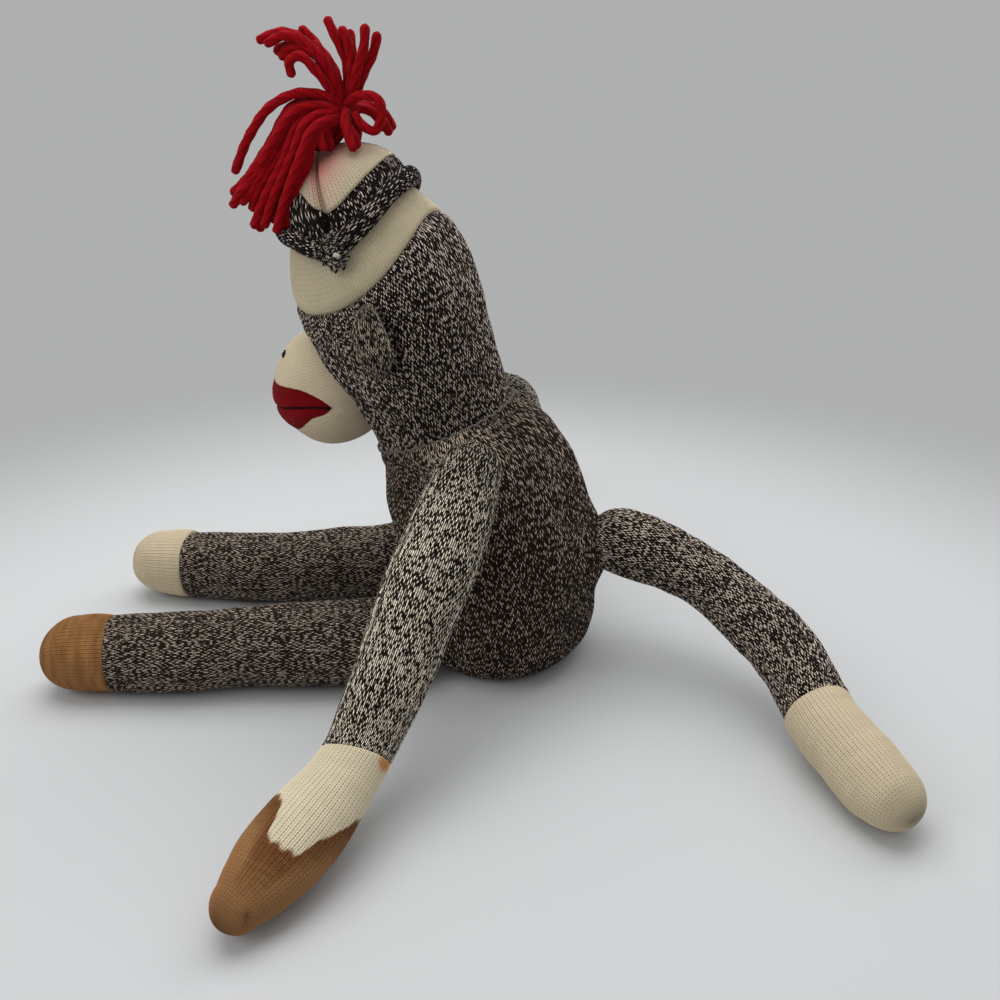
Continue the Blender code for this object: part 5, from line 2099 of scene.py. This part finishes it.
@dataclass
class Leg:
    """One leg with its toe cap."""

    side: str
    start: Point
    thigh_aim: tuple
    shin_aims: tuple
    seam: float
    seed: int
    thigh_length: float = 0.088
    shin_length: float = 0.093
    profile: tuple = (
        (-0.02, 0.0235),
        (0.0, 0.0235),
        (0.0308, 0.0222),
        (0.0546, 0.0218),
        (0.088, 0.0211),
        (0.1064, 0.0209),
        (0.1233, 0.0203),
        (0.1400, 0.0200),
        (0.1500, 0.0202),
        (0.1615, 0.0193),
    )

    def build(self, slot: Slot, knit: bpy.types.Material, toe: bpy.types.Material) -> None:
        """Knit the leg and the toe cap.

        Args:
            slot: Not used.
            knit: The leg's finish.
            toe: The toe cap's finish.
        """
        thigh = (self.thigh_length, self.thigh_aim, self.thigh_aim)
        line = LimbLine(self.start, (thigh, (self.shin_length, *self.shin_aims)))
        start, end = line.fold(self.thigh_length, 0.018)
        side = self.side
        leg = LimbPart(
            side + "_leg_knit", line, self.profile, 0.0, self.seam + 0.0012,
            Ending.DOME, Ending.FLAT, 58, SLEEVE_PITCH, 0.0005, seed=self.seed, rest=True,
        ).make()
        names = ("leg_root", "thigh_sleeve", "thigh_stuffing", "shin_sleeve", "shin_stuffing")
        dress(leg, knit, [f"{side}_{name}" for name in names])
        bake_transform(leg)
        foot = LimbPart(
            side + "_toe_bag", line, self.profile, self.seam, 0.1615,
            Ending.FLAT, Ending.DOME, 58, CREAM_PITCH, 0.0002, seed=self.seed + 2, rest=True,
        ).make()
        dress(foot, toe, (side + "_foot_knit",))
        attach(foot, side + "_shin")


@dataclass
class Tail:
    """The tail with its cream end."""

    start: Point = (0.0, 0.0645, 0.068)
    length: float = 0.133
    tip_length: float = 0.080
    aims: tuple = ((84.0, -12.0), (20.0, -24.0))
    tip_aims: tuple = ((22.0, -13.0), (32.0, -3.6))
    seam: float = 0.1410
    profile: tuple = (
        (-0.02, 0.0178),
        (0.0, 0.0178),
        (0.0293, 0.0166),
        (0.0559, 0.0162),
        (0.0825, 0.0165),
        (0.1064, 0.0163),
        (0.133, 0.0163),
        (0.1468, 0.0165),
        (0.1594, 0.0172),
        (0.1719, 0.0170),
        (0.1832, 0.0160),
        (0.1958, 0.0148),
    )

    def build(self) -> None:
        """Knit the tail and its end."""
        legs = (self.length, *self.aims), (self.tip_length, *self.tip_aims)
        line = LimbLine(self.start, legs)
        start, end = line.fold(self.length, 0.015)
        tail = LimbPart(
            "tail_knit", line, self.profile, 0.0, self.seam + 0.0012,
            Ending.DOME, Ending.FLAT, 48, SLEEVE_PITCH, 0.0005, seed=71, rest=True,
        ).make()
        names = ("tail_root", "tail_sleeve", "tail_stuffing")
        dress(tail, MARL_TAIL.material(), names)
        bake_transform(tail)
        tip = LimbPart(
            "tail_end_knit", line, self.profile, self.seam, 0.1958,
            Ending.FLAT, Ending.DOME, 47, CREAM_PITCH, 0.0002, seed=75, rest=True,
        ).make()
        dress(tip, CREAM.material(), ("tail_tip_knit", "tail_tip_stuffing"))
        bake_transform(tip)


@dataclass
class Studio:
    """The floor, the lamps and the camera."""

    eye: Point = (0.4875, 0.0685, 0.3066)
    view: Point = (-0.9047, -0.1271, -0.4067)
    lens: float = 36.0
    lamps: tuple = (
        ("top_lamp", (-0.15, -0.15, 1.10), 1.1, 8.0),
        ("front_lamp", (0.70, -0.70, 0.80), 0.7, 3.0),
        ("rear_lamp", (-0.60, 0.50, 0.90), 0.7, 2.5),
    )

    def build(self) -> None:
        """Set the studio up."""
        bm = bmesh.new()
        bmesh.ops.create_grid(bm, x_segments=1, y_segments=1, size=6.0)
        mesh = bpy.data.meshes.new("studio_floor")
        bm.to_mesh(mesh)
        bm.free()
        floor = placed("studio_floor", mesh)
        mesh.materials.append(STUDIO_FLOOR.material())
        for name, place, size, power in self.lamps:
            light = bpy.data.lights.new(name, "AREA")
            light.shape = "DISK"
            light.size = size
            light.energy = power
            lamp = bpy.data.objects.new(name, light)
            lamp.location = place
            way = Vector((0.0, 0.0, 0.08)) - Vector(place)
            lamp.rotation_euler = way.to_track_quat("-Z", "Y").to_euler()
            bpy.context.scene.collection.objects.link(lamp)
        self.light_world()
        data = bpy.data.cameras.new("photo_camera")
        data.lens = self.lens
        data.sensor_width = 36.0
        camera = bpy.data.objects.new("photo_camera", data)
        camera.location = self.eye
        camera.rotation_euler = Vector(self.view).to_track_quat("-Z", "Y").to_euler()
        bpy.context.scene.collection.objects.link(camera)
        bpy.context.scene.camera = camera
        bpy.context.scene.view_settings.view_transform = "Standard"

    def light_world(self) -> None:
        """Light everything a little from all round, before a grey backdrop."""
        world = bpy.data.worlds.new("studio_world")
        world.use_nodes = True
        bpy.context.scene.world = world
        nodes, links = world.node_tree.nodes, world.node_tree.links
        plain = nodes["Background"]
        plain.inputs["Color"].default_value = (1.0, 1.0, 1.0, 1.0)
        plain.inputs["Strength"].default_value = 0.42
        seen = nodes.new("ShaderNodeBackground")
        seen.inputs["Color"].default_value = (*STUDIO_FLOOR.far, 1.0)
        path = nodes.new("ShaderNodeLightPath")
        either = nodes.new("ShaderNodeMath")
        either.operation = "MAXIMUM"
        links.new(path.outputs["Is Camera Ray"], either.inputs[0])
        links.new(path.outputs["Is Glossy Ray"], either.inputs[1])
        both = nodes.new("ShaderNodeMixShader")
        links.new(either.outputs[0], both.inputs[0])
        links.new(plain.outputs[0], both.inputs[1])
        links.new(seen.outputs[0], both.inputs[2])
        links.new(both.outputs[0], nodes["World Output"].inputs["Surface"])


def main() -> None:
    """Build the doll and its studio."""
    logging.basicConfig(level=logging.INFO, format="%(name)s %(message)s")
    Torso().build()
    Head().build()
    Muzzle().build()
    Eyes().build()
    Ears().build()
    Cap().build()
    Pompom().build()
    arm_knit, cream = MARL_ARM.material(), CREAM.material()
    left = Arm(
        side="left",
        start=(0.057, -0.006, 0.126),
        arm_aims=((-19.6, -43.4), (-19.6, -43.4)),
        hand_aims=((-21.0, -20.0), (-24.0, -6.0)),
        lean=(0.0, -0.25, 0.15),
        seed=51,
        stained=True,
    )
    left.build(arm_knit, CREAM_HAND.material())
    right = Arm(
        side="right",
        start=(-0.057, -0.006, 0.126),
        arm_aims=((181.0, -30.0), (181.0, -30.0)),
        hand_aims=((170.0, -36.0), (162.0, -28.0)),
        lean=(0.0, 0.0, 0.0),
        seed=57,
    )
    right.build(arm_knit, cream)
    leg_knit = MARL_LEG.material()
    left_leg = Leg(
        side="left",
        start=(0.0466, -0.0528, 0.024),
        thigh_aim=(-79.0, -1.7),
        shin_aims=((-79.0, -0.9), (-80.0, -0.9)),
        seam=0.1430,
        seed=61,
    )
    left_leg.build(Slot.TAN, leg_knit, TAN_FOOT.material())
    right_leg = Leg(
        side="right",
        start=(-0.0466, -0.0528, 0.024),
        thigh_aim=(-78.0, -1.7),
        shin_aims=((-88.0, -0.9), (-90.0, -0.9)),
        seam=0.1435,
        seed=65,
    )
    right_leg.build(Slot.CREAM, leg_knit, cream)
    Tail().build()
    Studio().build()


if __name__ == "__main__":
    main()
